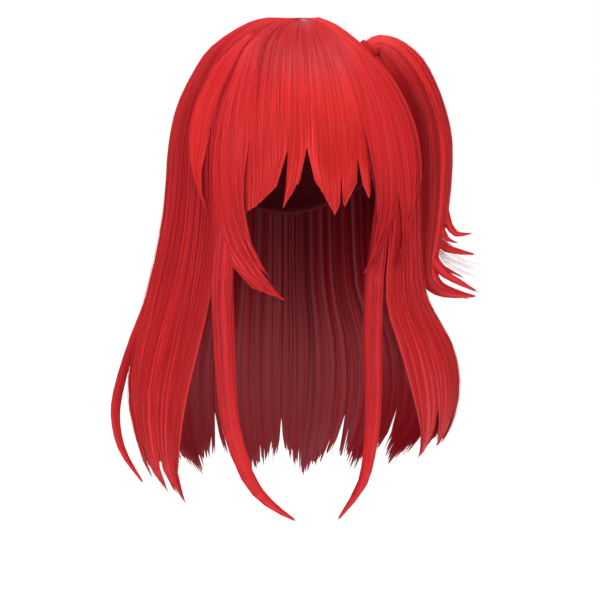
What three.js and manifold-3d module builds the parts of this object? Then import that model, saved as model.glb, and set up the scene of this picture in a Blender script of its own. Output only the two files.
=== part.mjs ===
// A long straight costume wig: net cap, fringe, face locks, long curtains and a side ponytail.
// Millimetres, +Z up. The face looks to -Y and the wearer's left is +X.
// The origin is the crown of the head, at the inside top of the cap.
import * as THREE from "three";
import { mergeVertices } from "three/addons/utils/BufferGeometryUtils.js";
import Module from "manifold-3d";

const wasm = await Module();
wasm.setup();

// Driving dimensions
const HEAD_HALF_WIDTH = 76;
const HEAD_HALF_DEPTH = 95;
const HEAD_HALF_HEIGHT = 100;
const CAP_WALL = 2;
const CAP_RIM_FRONT_Z = -58;
const CAP_RIM_EAR_Z = -112;
const CAP_RIM_NAPE_Z = -158;
const GAP = 0.4;
const CAP_GAP = 1.5;
const LAYER_GAP = 1.15;
const PATCH_HALF_WIDTH = 7;
const PATCH_HALF_LENGTH = 17;
const PATCH_WALL = 1.2;
const WHORL_Y = -17;
const CURTAIN_WALL = 10;
const FRINGE_WALL = 7;
const LOCK_WALL = 6;
const TIP_WALL = 1.6;
const RIB_DEPTH = 3;
const TIE_INNER_RADIUS = 7.9;
const TIE_WALL = 2;
const TIE_LENGTH = 5;

// Outer surface of the hair, a row for each level from the crown down. The half widths are the
// wearer's right and left, shift moves the section towards the back and dip lowers its front.
const HAIR_SECTIONS = [
  { z: 4.5, right: 10, left: 10, front: 19, back: 19, shift: WHORL_Y, dip: 5 },
  { z: 3.6, right: 33, left: 15, front: 26, back: 36, shift: -14, dip: 6 },
  { z: -3, right: 51, left: 30, front: 40, back: 55, shift: -11, dip: 4 },
  { z: -20, right: 75, left: 51.5, front: 62, back: 80, shift: -6, dip: 0 },
  { z: -40, right: 89, left: 68, front: 82, back: 97, shift: -2, dip: 0 },
  { z: -70, right: 103, left: 84, front: 99, back: 110, shift: 0, dip: 0 },
  { z: -105, right: 110, left: 94, front: 108, back: 116, shift: 0, dip: 0 },
  { z: -146, right: 113, left: 99, front: 107, back: 117, shift: 0, dip: 0 },
  { z: -188, right: 120, left: 101, front: 97, back: 116, shift: 0, dip: 0 },
  { z: -228, right: 130, left: 107, front: 84, back: 115, shift: 0, dip: 0 },
  { z: -268, right: 140, left: 129, front: 74, back: 118, shift: 0, dip: 0 },
  { z: -305, right: 144, left: 135, front: 68, back: 122, shift: 0, dip: 0 },
  { z: -340, right: 138, left: 126, front: 64, back: 121, shift: 0, dip: 0 },
  { z: -370, right: 127, left: 103, front: 60, back: 116, shift: 0, dip: 0 },
  { z: -398, right: 104, left: 78, front: 56, back: 106, shift: 0, dip: 0 },
];

// Edges of the layers of hair: bearings from the front at the crown, at one third and two thirds of
// the drop and at the hem, the height of the hem, and rib 1 where two locks part.
const FRINGE_EDGES = [
  { crown: -38, upper: -36.5, lower: -34.5, hem: -33, z: -148, rib: 0 },
  { crown: -34, upper: -32, lower: -30, hem: -28.5, z: -154, rib: 0 },
  { crown: -27, upper: -25.5, lower: -24.5, hem: -24, z: -146, rib: 0 },
  { crown: -19, upper: -18.5, lower: -18, hem: -17.5, z: -134, rib: 0.5 },
  { crown: -14, upper: -13.5, lower: -13, hem: -13, z: -111, rib: 1 },
  { crown: -11.5, upper: -11, lower: -11.2, hem: -14.5, z: -152, rib: 0 },
  { crown: -9, upper: -8.3, lower: -8.2, hem: -9.5, z: -135, rib: 0.4 },
  { crown: -5.5, upper: -5, lower: -5, hem: -5, z: -109, rib: 1 },
  { crown: -2, upper: -1.5, lower: -0.8, hem: 0.5, z: -136, rib: 0.3 },
  { crown: 4, upper: 4.5, lower: 5.3, hem: 7, z: -157, rib: 0 },
  { crown: 10, upper: 10.6, lower: 11, hem: 11.2, z: -145, rib: 0.7 },
  { crown: 14, upper: 14.3, lower: 14.2, hem: 13, z: -149, rib: 0 },
  { crown: 17, upper: 17.4, lower: 17.6, hem: 17.5, z: -135, rib: 0.4 },
  { crown: 20, upper: 20.4, lower: 20.5, hem: 20.5, z: -118, rib: 1 },
  { crown: 24, upper: 24, lower: 24.3, hem: 25.3, z: -144, rib: 0 },
  { crown: 27, upper: 27, lower: 27, hem: 27.2, z: -131, rib: 1 },
  { crown: 35, upper: 34, lower: 32.5, hem: 31, z: -148, rib: 0 },
];
const SIDE_RIGHT_EDGES = [
  { crown: -39.5, upper: -47, lower: -44, hem: -62, z: -386, rib: 0 },
  { crown: -48, upper: -53, lower: -49, hem: -67, z: -398, rib: 0 },
  { crown: -56, upper: -59, lower: -58, hem: -72, z: -384, rib: 1 },
  { crown: -65, upper: -67, lower: -67, hem: -77, z: -391, rib: 0 },
  { crown: -74, upper: -76, lower: -76, hem: -83, z: -370, rib: 1 },
  { crown: -84, upper: -86, lower: -87, hem: -90, z: -382, rib: 0 },
  { crown: -93, upper: -95, lower: -96, hem: -97, z: -360, rib: 1 },
  { crown: -102, upper: -103, lower: -104, hem: -105, z: -378, rib: 0 },
  { crown: -111, upper: -112, lower: -112, hem: -112, z: -362, rib: 0.6 },
];
const SIDE_LEFT_EDGES = [
  { crown: 36.5, upper: 46, lower: 36.5, hem: 50, z: -350, rib: 0 },
  { crown: 46, upper: 52, lower: 43, hem: 55, z: -366, rib: 0 },
  { crown: 54, upper: 58, lower: 53, hem: 63, z: -346, rib: 1 },
  { crown: 63, upper: 65, lower: 64, hem: 71, z: -358, rib: 0 },
  { crown: 73, upper: 75, lower: 75, hem: 79, z: -340, rib: 1 },
  { crown: 84, upper: 85, lower: 86, hem: 88, z: -356, rib: 0 },
  { crown: 93, upper: 94, lower: 95, hem: 96, z: -342, rib: 1 },
  { crown: 102, upper: 103, lower: 104, hem: 104, z: -366, rib: 0 },
  { crown: 111, upper: 112, lower: 112, hem: 112, z: -352, rib: 0.6 },
];
const BACK_EDGES = [
  { crown: 114.2, upper: 113, lower: 113, hem: 113, z: -364, rib: 0.6 },
  { crown: 120, upper: 120, lower: 120, hem: 121, z: -382, rib: 0 },
  { crown: 130, upper: 130, lower: 131, hem: 131, z: -366, rib: 1 },
  { crown: 142, upper: 142, lower: 142, hem: 141, z: -390, rib: 0 },
  { crown: 154, upper: 154, lower: 154, hem: 154, z: -374, rib: 1 },
  { crown: 166, upper: 166, lower: 167, hem: 168, z: -396, rib: 0 },
  { crown: 180, upper: 180, lower: 180, hem: 180, z: -378, rib: 1 },
  { crown: 194, upper: 194, lower: 193, hem: 192, z: -392, rib: 0 },
  { crown: 206, upper: 206, lower: 206, hem: 206, z: -370, rib: 1 },
  { crown: 218, upper: 218, lower: 218, hem: 219, z: -390, rib: 0 },
  { crown: 230, upper: 230, lower: 229, hem: 229, z: -372, rib: 1 },
  { crown: 240, upper: 240, lower: 240, hem: 239, z: -384, rib: 0 },
  { crown: 245.8, upper: 247, lower: 247, hem: 247, z: -364, rib: 0.6 },
];
const FACE_LOCK_RIGHT_EDGES = [
  { crown: -33, upper: -30.5, lower: -27.5, hem: -25.5, z: -163, rib: 0 },
  { crown: -36, upper: -33.5, lower: -31, hem: -17.3, z: -205, rib: 0 },
  { crown: -38.5, upper: -37, lower: -34.5, hem: -27.5, z: -188, rib: 0.6 },
  { crown: -41, upper: -40.5, lower: -37.5, hem: -13, z: -222, rib: 0 },
  { crown: -43, upper: -43, lower: -42, hem: -31, z: -204, rib: 0 },
];
const FACE_LOCK_LEFT_EDGES = [
  { crown: 31, upper: 29.5, lower: 28.5, hem: 29, z: -163, rib: 0 },
  { crown: 36, upper: 36, lower: 34.5, hem: 21.6, z: -205, rib: 0 },
  { crown: 42, upper: 44.5, lower: 44, hem: 33, z: -184, rib: 0 },
];
const TEMPLE_LOCK_RIGHT_EDGES = [
  { crown: -45, upper: -48, lower: -52, hem: -46.5, z: -148, rib: 0 },
  { crown: -49, upper: -54, lower: -58, hem: -47.5, z: -157, rib: 0 },
  { crown: -52, upper: -59, lower: -63, hem: -49, z: -150, rib: 0 },
];
const TEMPLE_LOCK_LEFT_EDGES = [
  { crown: 43.4, upper: 46, lower: 47, hem: 41, z: -176, rib: 0 },
  { crown: 47.5, upper: 53, lower: 56, hem: 40.5, z: -204, rib: 0 },
  { crown: 50, upper: 57.5, lower: 62.5, hem: 46, z: -154, rib: 1 },
  { crown: 52.5, upper: 61.5, lower: 68, hem: 48, z: -164, rib: 0 },
  { crown: 55, upper: 65, lower: 73, hem: 51, z: -152, rib: 0 },
];

// Free locks: centre, half width across, half thickness
const SIDELOCK_RIGHT = [
  { x: -54, y: -67, z: -66, across: 3, thick: 2 },
  { x: -62, y: -79, z: -96, across: 5, thick: 2.8 },
  { x: -69, y: -78, z: -148, across: 6.6, thick: 3 },
  { x: -73, y: -73, z: -209, across: 8.2, thick: 3.2 },
  { x: -72, y: -75, z: -252, across: 8, thick: 3.2 },
  { x: -70, y: -76, z: -293, across: 7.6, thick: 3 },
  { x: -66, y: -77, z: -329, across: 7, thick: 2.8 },
  { x: -53, y: -80, z: -367, across: 5.4, thick: 2.4 },
  { x: -37, y: -84, z: -387, across: 3.6, thick: 1.8 },
  { x: -16, y: -88, z: -401, across: 0.8, thick: 0.7 },
];
const SIDELOCK_LEFT = [
  { x: 48.2, y: -71.1, z: -63.4, across: 3, thick: 2 },
  { x: 54, y: -79, z: -96, across: 5, thick: 2.6 },
  { x: 56, y: -79, z: -148, across: 6.6, thick: 3 },
  { x: 50, y: -74, z: -211, across: 8.2, thick: 3.2 },
  { x: 48.5, y: -76, z: -252, across: 8.2, thick: 3.2 },
  { x: 49, y: -77, z: -288, across: 7.4, thick: 3 },
  { x: 48.5, y: -77, z: -322, across: 6.8, thick: 2.8 },
  { x: 45, y: -79, z: -351, across: 5.6, thick: 2.4 },
  { x: 38, y: -82, z: -375, across: 4, thick: 2 },
  { x: 18, y: -89, z: -401, across: 0.8, thick: 0.7 },
];
const OUTER_WISP = [
  { x: -116, y: 4, z: -196, across: 4, thick: 1.6 },
  { x: -125, y: 4, z: -226, across: 5.5, thick: 2.6 },
  { x: -140, y: 4, z: -266, across: 6, thick: 3.4 },
  { x: -151.5, y: 3, z: -306, across: 5, thick: 4 },
  { x: -153, y: 2, z: -330, across: 4.4, thick: 3.6 },
  { x: -147, y: 0, z: -354, across: 3.4, thick: 2.8 },
  { x: -131, y: -3, z: -379, across: 0.8, thick: 0.7 },
];
const PONYTAIL = [
  { x: 55.9, y: 9.2, z: -24.3, across: 7, thick: 7 },
  { x: 62.4, y: 9.3, z: -18.8, across: 7.2, thick: 7.2 },
  { x: 69, y: 9.2, z: -17.2, across: 8.4, thick: 9 },
  { x: 78.5, y: 8.5, z: -23, across: 12.5, thick: 12 },
  { x: 89.5, y: 7, z: -36.5, across: 16.5, thick: 15 },
  { x: 99.5, y: 6, z: -54, across: 16.6, thick: 16 },
  { x: 107.5, y: 4, z: -76.5, across: 16.6, thick: 17 },
  { x: 112.5, y: 2, z: -101, across: 15.6, thick: 17 },
  { x: 114.2, y: 0, z: -139, across: 12.7, thick: 16 },
  { x: 113.6, y: -1, z: -172, across: 9.7, thick: 14 },
  { x: 113.4, y: -1, z: -200, across: 7.6, thick: 10 },
  { x: 121, y: -2, z: -219, across: 4.6, thick: 6 },
  { x: 143, y: -2, z: -229, across: 0.7, thick: 0.8 },
];
// Flicked ends of the ponytail: where each leaves the bundle, a bend, the turn outwards and the tip
const FLICKS = [
  { x: 120, y: -4, bendX: 121.5, bendZ: -156, turnX: 126.5, turnZ: -170, tipX: 142, tipY: -8, tipZ: -176 },
  { x: 114, y: -8, bendX: 115.5, bendZ: -162, turnX: 119.5, turnZ: -176, tipX: 130, tipY: -12, tipZ: -182 },
  { x: 117, y: 6, bendX: 117, bendZ: -166, turnX: 126, turnZ: -186, tipX: 150, tipY: 4, tipZ: -193 },
  { x: 114, y: -6, bendX: 114, bendZ: -188, turnX: 122, turnZ: -210, tipX: 148, tipY: -10, tipZ: -222 },
];

const HEAD_CENTRE = new THREE.Vector3(0, 0, -HEAD_HALF_HEIGHT);

// Value of a named column of the sections at a level t, by a smooth curve through the rows.
function sectionValue(name, t) {
  const last = HAIR_SECTIONS.length - 1;
  const i = Math.min(Math.floor(t), last - 1);
  const f = t - i;
  const at = (k) => HAIR_SECTIONS[Math.max(0, Math.min(last, k))][name];
  const before = at(i - 1);
  const start = at(i);
  const end = at(i + 1);
  const after = at(i + 2);
  const bend = 2 * before - 5 * start + 4 * end - after;
  const turn = 3 * (start - end) + after - before;
  return start + 0.5 * f * (end - before + f * (bend + f * turn));
}

// Level at which the sections reach a height, by halving.
function levelAt(z) {
  let low = 1;
  let high = HAIR_SECTIONS.length - 1;
  for (let k = 0; k < 30; k += 1) {
    const middle = (low + high) / 2;
    if (sectionValue("z", middle) > z) low = middle;
    else high = middle;
  }
  return low;
}

// Point of the hair's outer surface at a bearing in degrees and a level.
function hairPoint(bearing, t) {
  const turn = THREE.MathUtils.degToRad(bearing);
  const half = sectionValue(Math.sin(turn) < 0 ? "right" : "left", t);
  const depth = sectionValue(Math.cos(turn) > 0 ? "front" : "back", t);
  const y = sectionValue("shift", t) - depth * Math.cos(turn);
  const dip = sectionValue("dip", t) * Math.max(0, Math.cos(turn)) ** 2;
  return new THREE.Vector3(half * Math.sin(turn), y, sectionValue("z", t) - dip);
}

// Outward direction at a point: from the head's centre above it, level below it.
function outward(point) {
  const from = new THREE.Vector3(0, 0, Math.min(point.z, HEAD_CENTRE.z));
  if (point.z > HEAD_CENTRE.z) from.copy(HEAD_CENTRE);
  return point.clone().sub(from).normalize();
}

// Height of a point above the cap, along the line to the head's centre.
function heightOverCap(point) {
  const grown = CAP_WALL + CAP_GAP;
  const arm = point.clone().sub(HEAD_CENTRE);
  const x = arm.x / (HEAD_HALF_WIDTH + grown);
  const y = arm.y / (HEAD_HALF_DEPTH + grown);
  const z = arm.z / (HEAD_HALF_HEIGHT + grown);
  return arm.length() * (1 - 1 / Math.hypot(x, y, z));
}

// Closed geometry from points and triangles, turned to face out.
function solid(points, triangles) {
  const flat = new Float32Array(points.flatMap((p) => [p.x, p.y, p.z]));
  let geometry = new THREE.BufferGeometry();
  geometry.setAttribute("position", new THREE.BufferAttribute(flat, 3));
  geometry.setIndex(triangles);
  geometry = mergeVertices(geometry, 1e-3);
  const index = Array.from(geometry.index.array);
  const kept = [];
  for (let k = 0; k < index.length; k += 3) {
    const [a, b, c] = index.slice(k, k + 3);
    if (a !== b && b !== c && a !== c) kept.push(a, b, c);
  }
  const position = geometry.attributes.position;
  const corner = (k) => new THREE.Vector3().fromBufferAttribute(position, k);
  let volume = 0;
  for (let k = 0; k < kept.length; k += 3) {
    const side = corner(kept[k + 1]).cross(corner(kept[k + 2]));
    volume += corner(kept[k]).dot(side);
  }
  if (volume < 0) kept.reverse();
  geometry.setIndex(kept);
  return geometry;
}

// Wall between two grids of points, each a list of columns. With loop the last column joins the first.
function wall(outer, inner, loop) {
  const columns = outer.length;
  const rows = outer[0].length;
  const at = (side, i, j) => side * columns * rows + (i % columns) * rows + j;
  const triangles = [];
  const quad = (a, b, c, d) => triangles.push(a, b, c, a, c, d);
  const spans = loop ? columns : columns - 1;
  for (let i = 0; i < spans; i += 1) {
    for (let j = 0; j < rows - 1; j += 1) {
      quad(at(0, i, j), at(0, i + 1, j), at(0, i + 1, j + 1), at(0, i, j + 1));
      quad(at(1, i, j), at(1, i, j + 1), at(1, i + 1, j + 1), at(1, i + 1, j));
    }
    quad(at(0, i, 0), at(1, i, 0), at(1, i + 1, 0), at(0, i + 1, 0));
    const j = rows - 1;
    quad(at(0, i, j), at(0, i + 1, j), at(1, i + 1, j), at(1, i, j));
  }
  for (let j = 0; j < rows - 1 && !loop; j += 1) {
    const i = columns - 1;
    quad(at(0, 0, j), at(0, 0, j + 1), at(1, 0, j + 1), at(1, 0, j));
    quad(at(0, i, j), at(1, i, j), at(1, i, j + 1), at(0, i, j + 1));
  }
  return solid([...outer.flat(), ...inner.flat()], triangles);
}

// Bearing at a share s of the drop, by the cubic through the four bearings of an edge.
function bearingAt(mix, s) {
  const crown = -4.5 * (s - 1 / 3) * (s - 2 / 3) * (s - 1);
  const upper = 13.5 * s * (s - 2 / 3) * (s - 1);
  const lower = -13.5 * s * (s - 1 / 3) * (s - 1);
  const hem = 4.5 * s * (s - 1 / 3) * (s - 2 / 3);
  return mix("crown") * crown + mix("upper") * upper + mix("lower") * lower + mix("hem") * hem;
}

// Layer of hair between its edges. With lift it lies over the hair surface instead of under it.
function layer(edges, { thickness, rows, start = 0, lift = 0, split = 2 }) {
  const outer = [];
  const inner = [];
  const spans = (edges.length - 1) * split;
  for (let i = 0; i <= spans; i += 1) {
    const k = Math.min(Math.floor(i / split), edges.length - 2);
    const f = i / split - k;
    const mix = (name) => edges[k][name] * (1 - f) + edges[k + 1][name] * f;
    const hemLevel = levelAt(mix("z"));
    const outerColumn = [];
    const innerColumn = [];
    for (let j = 0; j <= rows; j += 1) {
      const level = start + (hemLevel - start) * (j / rows);
      const s = (HAIR_SECTIONS[0].z - sectionValue("z", level)) / (HAIR_SECTIONS[0].z - mix("z"));
      const point = hairPoint(bearingAt(mix, s), level);
      const out = outward(point);
      const swell = lift ? Math.sin(Math.PI * (j / rows) ** 1.8) ** 0.8 : 1 - s ** 4;
      const full = TIP_WALL + (thickness - TIP_WALL) * Math.max(0, swell);
      const rib = RIB_DEPTH * mix("rib") * Math.min(1, Math.max(0, s)) * (lift ? 0.4 : 1);
      const room = lift ? full : Math.min(full, heightOverCap(point));
      const cut = Math.min(rib, room - 1.2);
      const high = lift ? lift + full - cut : -cut;
      const low = lift ? lift : -Math.max(room, cut + 1.2);
      outerColumn.push(point.clone().addScaledVector(out, high));
      innerColumn.push(point.clone().addScaledVector(out, low));
    }
    outer.push(outerColumn);
    inner.push(innerColumn);
  }
  return wall(outer, inner, false);
}

// Lock swept along its rows, with a lens section that lies flat against the head.
function lock(rows, { steps, sides = 8, flatTo = null }) {
  const centre = new THREE.CatmullRomCurve3(rows.map((r) => new THREE.Vector3(r.x, r.y, r.z)));
  const size = new THREE.CatmullRomCurve3(rows.map((r) => new THREE.Vector3(r.across, r.thick, 0)));
  const points = [];
  const triangles = [];
  for (let i = 0; i <= steps; i += 1) {
    const at = centre.getPoint(i / steps);
    const half = size.getPoint(i / steps);
    const along = centre.getTangent(i / steps);
    const out = flatTo ? flatTo.clone() : outward(at);
    const across = along.clone().cross(out).normalize();
    const up = across.clone().cross(along).normalize();
    for (let k = 0; k < sides; k += 1) {
      const turn = (2 * Math.PI * k) / sides;
      const point = at.clone().addScaledVector(across, half.x * Math.cos(turn));
      points.push(point.addScaledVector(up, half.y * Math.sin(turn)));
    }
  }
  for (let i = 0; i < steps; i += 1) {
    for (let k = 0; k < sides; k += 1) {
      const next = (k + 1) % sides;
      const [a, b] = [i * sides + k, i * sides + next];
      triangles.push(a, b, b + sides, a, b + sides, a + sides);
    }
  }
  for (let k = 1; k < sides - 1; k += 1) {
    const end = steps * sides;
    triangles.push(0, k + 1, k, end, end + k, end + k + 1);
  }
  return solid(points, triangles);
}

function toManifold(geometry) {
  const vertProperties = new Float32Array(geometry.attributes.position.array);
  const triVerts = new Uint32Array(geometry.index.array);
  return new wasm.Manifold(new wasm.Mesh({ numProp: 3, vertProperties, triVerts }));
}

function fuse(geometries) {
  const body = geometries.map(toManifold).reduce((a, b) => a.add(b));
  const mesh = body.getMesh();
  const geometry = new THREE.BufferGeometry();
  geometry.setAttribute("position", new THREE.BufferAttribute(new Float32Array(mesh.vertProperties), 3));
  geometry.setIndex(Array.from(mesh.triVerts));
  return geometry;
}

// Point of the head's ellipsoid grown by a distance, at a bearing and an angle from the top.
function headPoint(bearing, fromTop, grown) {
  const x = (HEAD_HALF_WIDTH + grown) * Math.sin(fromTop) * Math.sin(bearing);
  const y = -(HEAD_HALF_DEPTH + grown) * Math.sin(fromTop) * Math.cos(bearing);
  const z = (HEAD_HALF_HEIGHT + grown) * Math.cos(fromTop) - HEAD_HALF_HEIGHT;
  return new THREE.Vector3(x, y, z);
}

// Open dome of the cap: the rim is high at the forehead, lower at the ears, lowest at the nape.
function cap(columns, rows) {
  const outer = [];
  const inner = [];
  for (let i = 0; i < columns; i += 1) {
    const bearing = (2 * Math.PI * i) / columns;
    const front = (CAP_RIM_FRONT_Z - CAP_RIM_EAR_Z) * Math.max(0, Math.cos(bearing)) ** 1.2;
    const back = (CAP_RIM_NAPE_Z - CAP_RIM_EAR_Z) * Math.max(0, -Math.cos(bearing)) ** 1.2;
    const rim = Math.acos((CAP_RIM_EAR_Z + front + back) / HEAD_HALF_HEIGHT + 1);
    const levels = Array.from({ length: rows + 1 }, (_, j) => (rim * j) / rows);
    outer.push(levels.map((level) => headPoint(bearing, level, CAP_WALL)));
    inner.push(levels.map((level) => headPoint(bearing, level, 0)));
  }
  return wall(outer, inner, true);
}

// Oval patch on top of the cap at the whorl.
function patch(columns, rows) {
  const onCap = (x, y, grown) => {
    const across = x / (HEAD_HALF_WIDTH + grown);
    const deep = y / (HEAD_HALF_DEPTH + grown);
    const height = (HEAD_HALF_HEIGHT + grown) * Math.sqrt(1 - across ** 2 - deep ** 2);
    return new THREE.Vector3(x, y, height - HEAD_HALF_HEIGHT);
  };
  const grid = (grown) => Array.from({ length: columns }, (_, i) => {
    const turn = (2 * Math.PI * i) / columns;
    return Array.from({ length: rows + 1 }, (__, j) => {
      const x = PATCH_HALF_WIDTH * Math.sin(turn) * (j / rows);
      const y = WHORL_Y - PATCH_HALF_LENGTH * Math.cos(turn) * (j / rows);
      return onCap(x, y, grown);
    });
  });
  const base = CAP_WALL + GAP;
  return wall(grid(base + PATCH_WALL), grid(base), true);
}

// Band round the root of the ponytail, turned about the direction in which the root leaves the head.
function tie() {
  const root = new THREE.Vector3(PONYTAIL[0].x, PONYTAIL[0].y, PONYTAIL[0].z);
  const next = new THREE.Vector3(PONYTAIL[1].x, PONYTAIL[1].y, PONYTAIL[1].z);
  const along = next.clone().sub(root).normalize();
  const half = TIE_LENGTH / 2;
  const middle = TIE_INNER_RADIUS + TIE_WALL;
  const profile = [
    new THREE.Vector2(TIE_INNER_RADIUS, -half),
    new THREE.Vector2(middle - 0.6, -half),
    new THREE.Vector2(middle, -half * 0.4),
    new THREE.Vector2(middle, half * 0.4),
    new THREE.Vector2(middle - 0.6, half),
    new THREE.Vector2(TIE_INNER_RADIUS, half),
    new THREE.Vector2(TIE_INNER_RADIUS, -half),
  ];
  const geometry = new THREE.LatheGeometry(profile, 20);
  geometry.applyQuaternion(new THREE.Quaternion().setFromUnitVectors(new THREE.Vector3(0, 1, 0), along));
  const centre = root.addScaledVector(along, 1.6 + half);
  geometry.translate(centre.x, centre.y, centre.z);
  geometry.deleteAttribute("normal");
  geometry.deleteAttribute("uv");
  const merged = mergeVertices(geometry, 1e-3);
  const position = merged.attributes.position;
  const points = [];
  for (let k = 0; k < position.count; k += 1) points.push(new THREE.Vector3().fromBufferAttribute(position, k));
  return solid(points, Array.from(merged.index.array));
}

function ponytail() {
  const deep = new THREE.Vector3(0, -1, 0);
  const bundle = lock(PONYTAIL, { steps: 22, sides: 12, flatTo: deep });
  const flicks = FLICKS.map((f) => lock([
    { x: f.x - 3, y: f.y * 0.6, z: -110, across: 3, thick: 3 },
    { x: f.x, y: f.y, z: -136, across: 4.5, thick: 6 },
    { x: f.bendX, y: f.y, z: f.bendZ, across: 4.2, thick: 5.5 },
    { x: f.turnX, y: (f.y + f.tipY) / 2, z: f.turnZ, across: 2.8, thick: 4 },
    { x: f.tipX, y: f.tipY, z: f.tipZ, across: 0.8, thick: 0.7 },
  ], { steps: 11, flatTo: deep }));
  return fuse([bundle, ...flicks]);
}

const HAIR_COLOUR = 0xc4202a;
const group = new THREE.Group();

function node(name, geometry, color, roughness) {
  const mesh = new THREE.Mesh(geometry, new THREE.MeshStandardMaterial({ color, roughness, metalness: 0 }));
  mesh.name = name;
  group.add(mesh);
}

const over = { thickness: LOCK_WALL, rows: 14, start: 2.2, lift: LAYER_GAP };
const curtain = { thickness: CURTAIN_WALL, rows: 20 };

node("wig_cap", cap(32, 9), 0x2a1216, 0.8);
node("parting_patch", patch(20, 2), 0xe8b7ab, 0.6);
node("fringe", layer(FRINGE_EDGES, { thickness: FRINGE_WALL, rows: 14, split: 1 }), HAIR_COLOUR, 0.4);
node("back_hair", layer(BACK_EDGES, curtain), HAIR_COLOUR, 0.4);
const rightCurtain = layer(SIDE_RIGHT_EDGES, curtain);
node("side_hair_right", fuse([rightCurtain, lock(OUTER_WISP, { steps: 14 })]), HAIR_COLOUR, 0.4);
node("side_hair_left", layer(SIDE_LEFT_EDGES, curtain), HAIR_COLOUR, 0.4);
node("face_lock_right", layer(FACE_LOCK_RIGHT_EDGES, over), HAIR_COLOUR, 0.4);
node("face_lock_left", layer(FACE_LOCK_LEFT_EDGES, over), HAIR_COLOUR, 0.4);
node("temple_lock_right", layer(TEMPLE_LOCK_RIGHT_EDGES, over), HAIR_COLOUR, 0.4);
node("temple_lock_left", layer(TEMPLE_LOCK_LEFT_EDGES, over), HAIR_COLOUR, 0.4);
const chestRight = { steps: 24, flatTo: new THREE.Vector3(-0.45, -0.89, 0.1) };
const chestLeft = { steps: 24, flatTo: new THREE.Vector3(0.4, -0.91, 0.1) };
node("sidelock_right", lock(SIDELOCK_RIGHT, chestRight), HAIR_COLOUR, 0.4);
node("sidelock_left", lock(SIDELOCK_LEFT, chestLeft), HAIR_COLOUR, 0.4);
node("ponytail", ponytail(), HAIR_COLOUR, 0.4);
node("ponytail_tie", tie(), 0x6a1018, 0.7);

export default group;
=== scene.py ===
# %% [markdown]
# # A long straight costume wig
#
# The wig is sleek synthetic fibre sewn to a stretch net cap. Hair spreads from a whorl on the crown: a
# fringe in front, long curtains at the sides and back, locks that frame the face, two thin sidelocks and
# a ponytail on the wearer's left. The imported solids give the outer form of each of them. This lesson
# grows strands inside those forms, so that every piece stays where its solid is, and gives each surface
# its finish.

# %% The frame
import math

import bpy
import numpy as np
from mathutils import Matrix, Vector


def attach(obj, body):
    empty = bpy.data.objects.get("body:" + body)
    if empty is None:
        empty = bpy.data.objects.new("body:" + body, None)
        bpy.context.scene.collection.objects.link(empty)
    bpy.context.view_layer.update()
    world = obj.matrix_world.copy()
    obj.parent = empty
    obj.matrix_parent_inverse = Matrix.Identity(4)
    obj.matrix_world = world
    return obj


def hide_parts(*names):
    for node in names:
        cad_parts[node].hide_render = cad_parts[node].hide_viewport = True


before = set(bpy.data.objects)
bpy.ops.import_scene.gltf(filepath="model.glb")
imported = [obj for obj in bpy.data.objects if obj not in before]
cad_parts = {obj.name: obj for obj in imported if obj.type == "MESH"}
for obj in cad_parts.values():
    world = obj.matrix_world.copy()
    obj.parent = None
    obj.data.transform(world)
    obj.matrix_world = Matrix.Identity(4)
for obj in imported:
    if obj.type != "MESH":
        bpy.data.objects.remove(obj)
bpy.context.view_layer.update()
MM = 0.001

# %% [markdown]
# ## The camera
#
# The picture looks at the wig almost from the front, a little from the wearer's right and a little from
# above. A long lens far away keeps the near and far locks at the same scale, as a product photograph
# does. The camera is placed by its two angles round a target, so that the numbers read as what a
# photographer would set.

# %% Camera at the photograph's angle
VIEW_AZIMUTH = math.radians(-8)
VIEW_ELEVATION = math.radians(3)
VIEW_DISTANCE = 2.2
VIEW_TARGET = Vector((0, 0, -0.229))
FRAME_WIDTH = 0.498

camera_data = bpy.data.cameras.new("photo_camera")
camera_data.sensor_width = 36
camera_data.lens = camera_data.sensor_width * VIEW_DISTANCE / FRAME_WIDTH
camera = bpy.data.objects.new("photo_camera", camera_data)
bpy.context.scene.collection.objects.link(camera)
back = Vector((
    math.sin(VIEW_AZIMUTH) * math.cos(VIEW_ELEVATION),
    -math.cos(VIEW_AZIMUTH) * math.cos(VIEW_ELEVATION),
    math.sin(VIEW_ELEVATION),
))
camera.location = VIEW_TARGET + back * VIEW_DISTANCE
camera.rotation_euler = (-back).to_track_quat("-Z", "Y").to_euler()
bpy.context.scene.camera = camera
bpy.context.scene.view_settings.view_transform = "Standard"
print("camera lens", round(camera_data.lens, 1), "mm at", camera.location)

# %% [markdown]
# ## Shader sums as Python sums
#
# A finish is easier to read as a formula than as a page of nodes. The class below holds one output
# socket. Adding or multiplying two of them adds a Math node, and one method makes every other kind of
# node, with its settings first and its inputs after.


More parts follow.
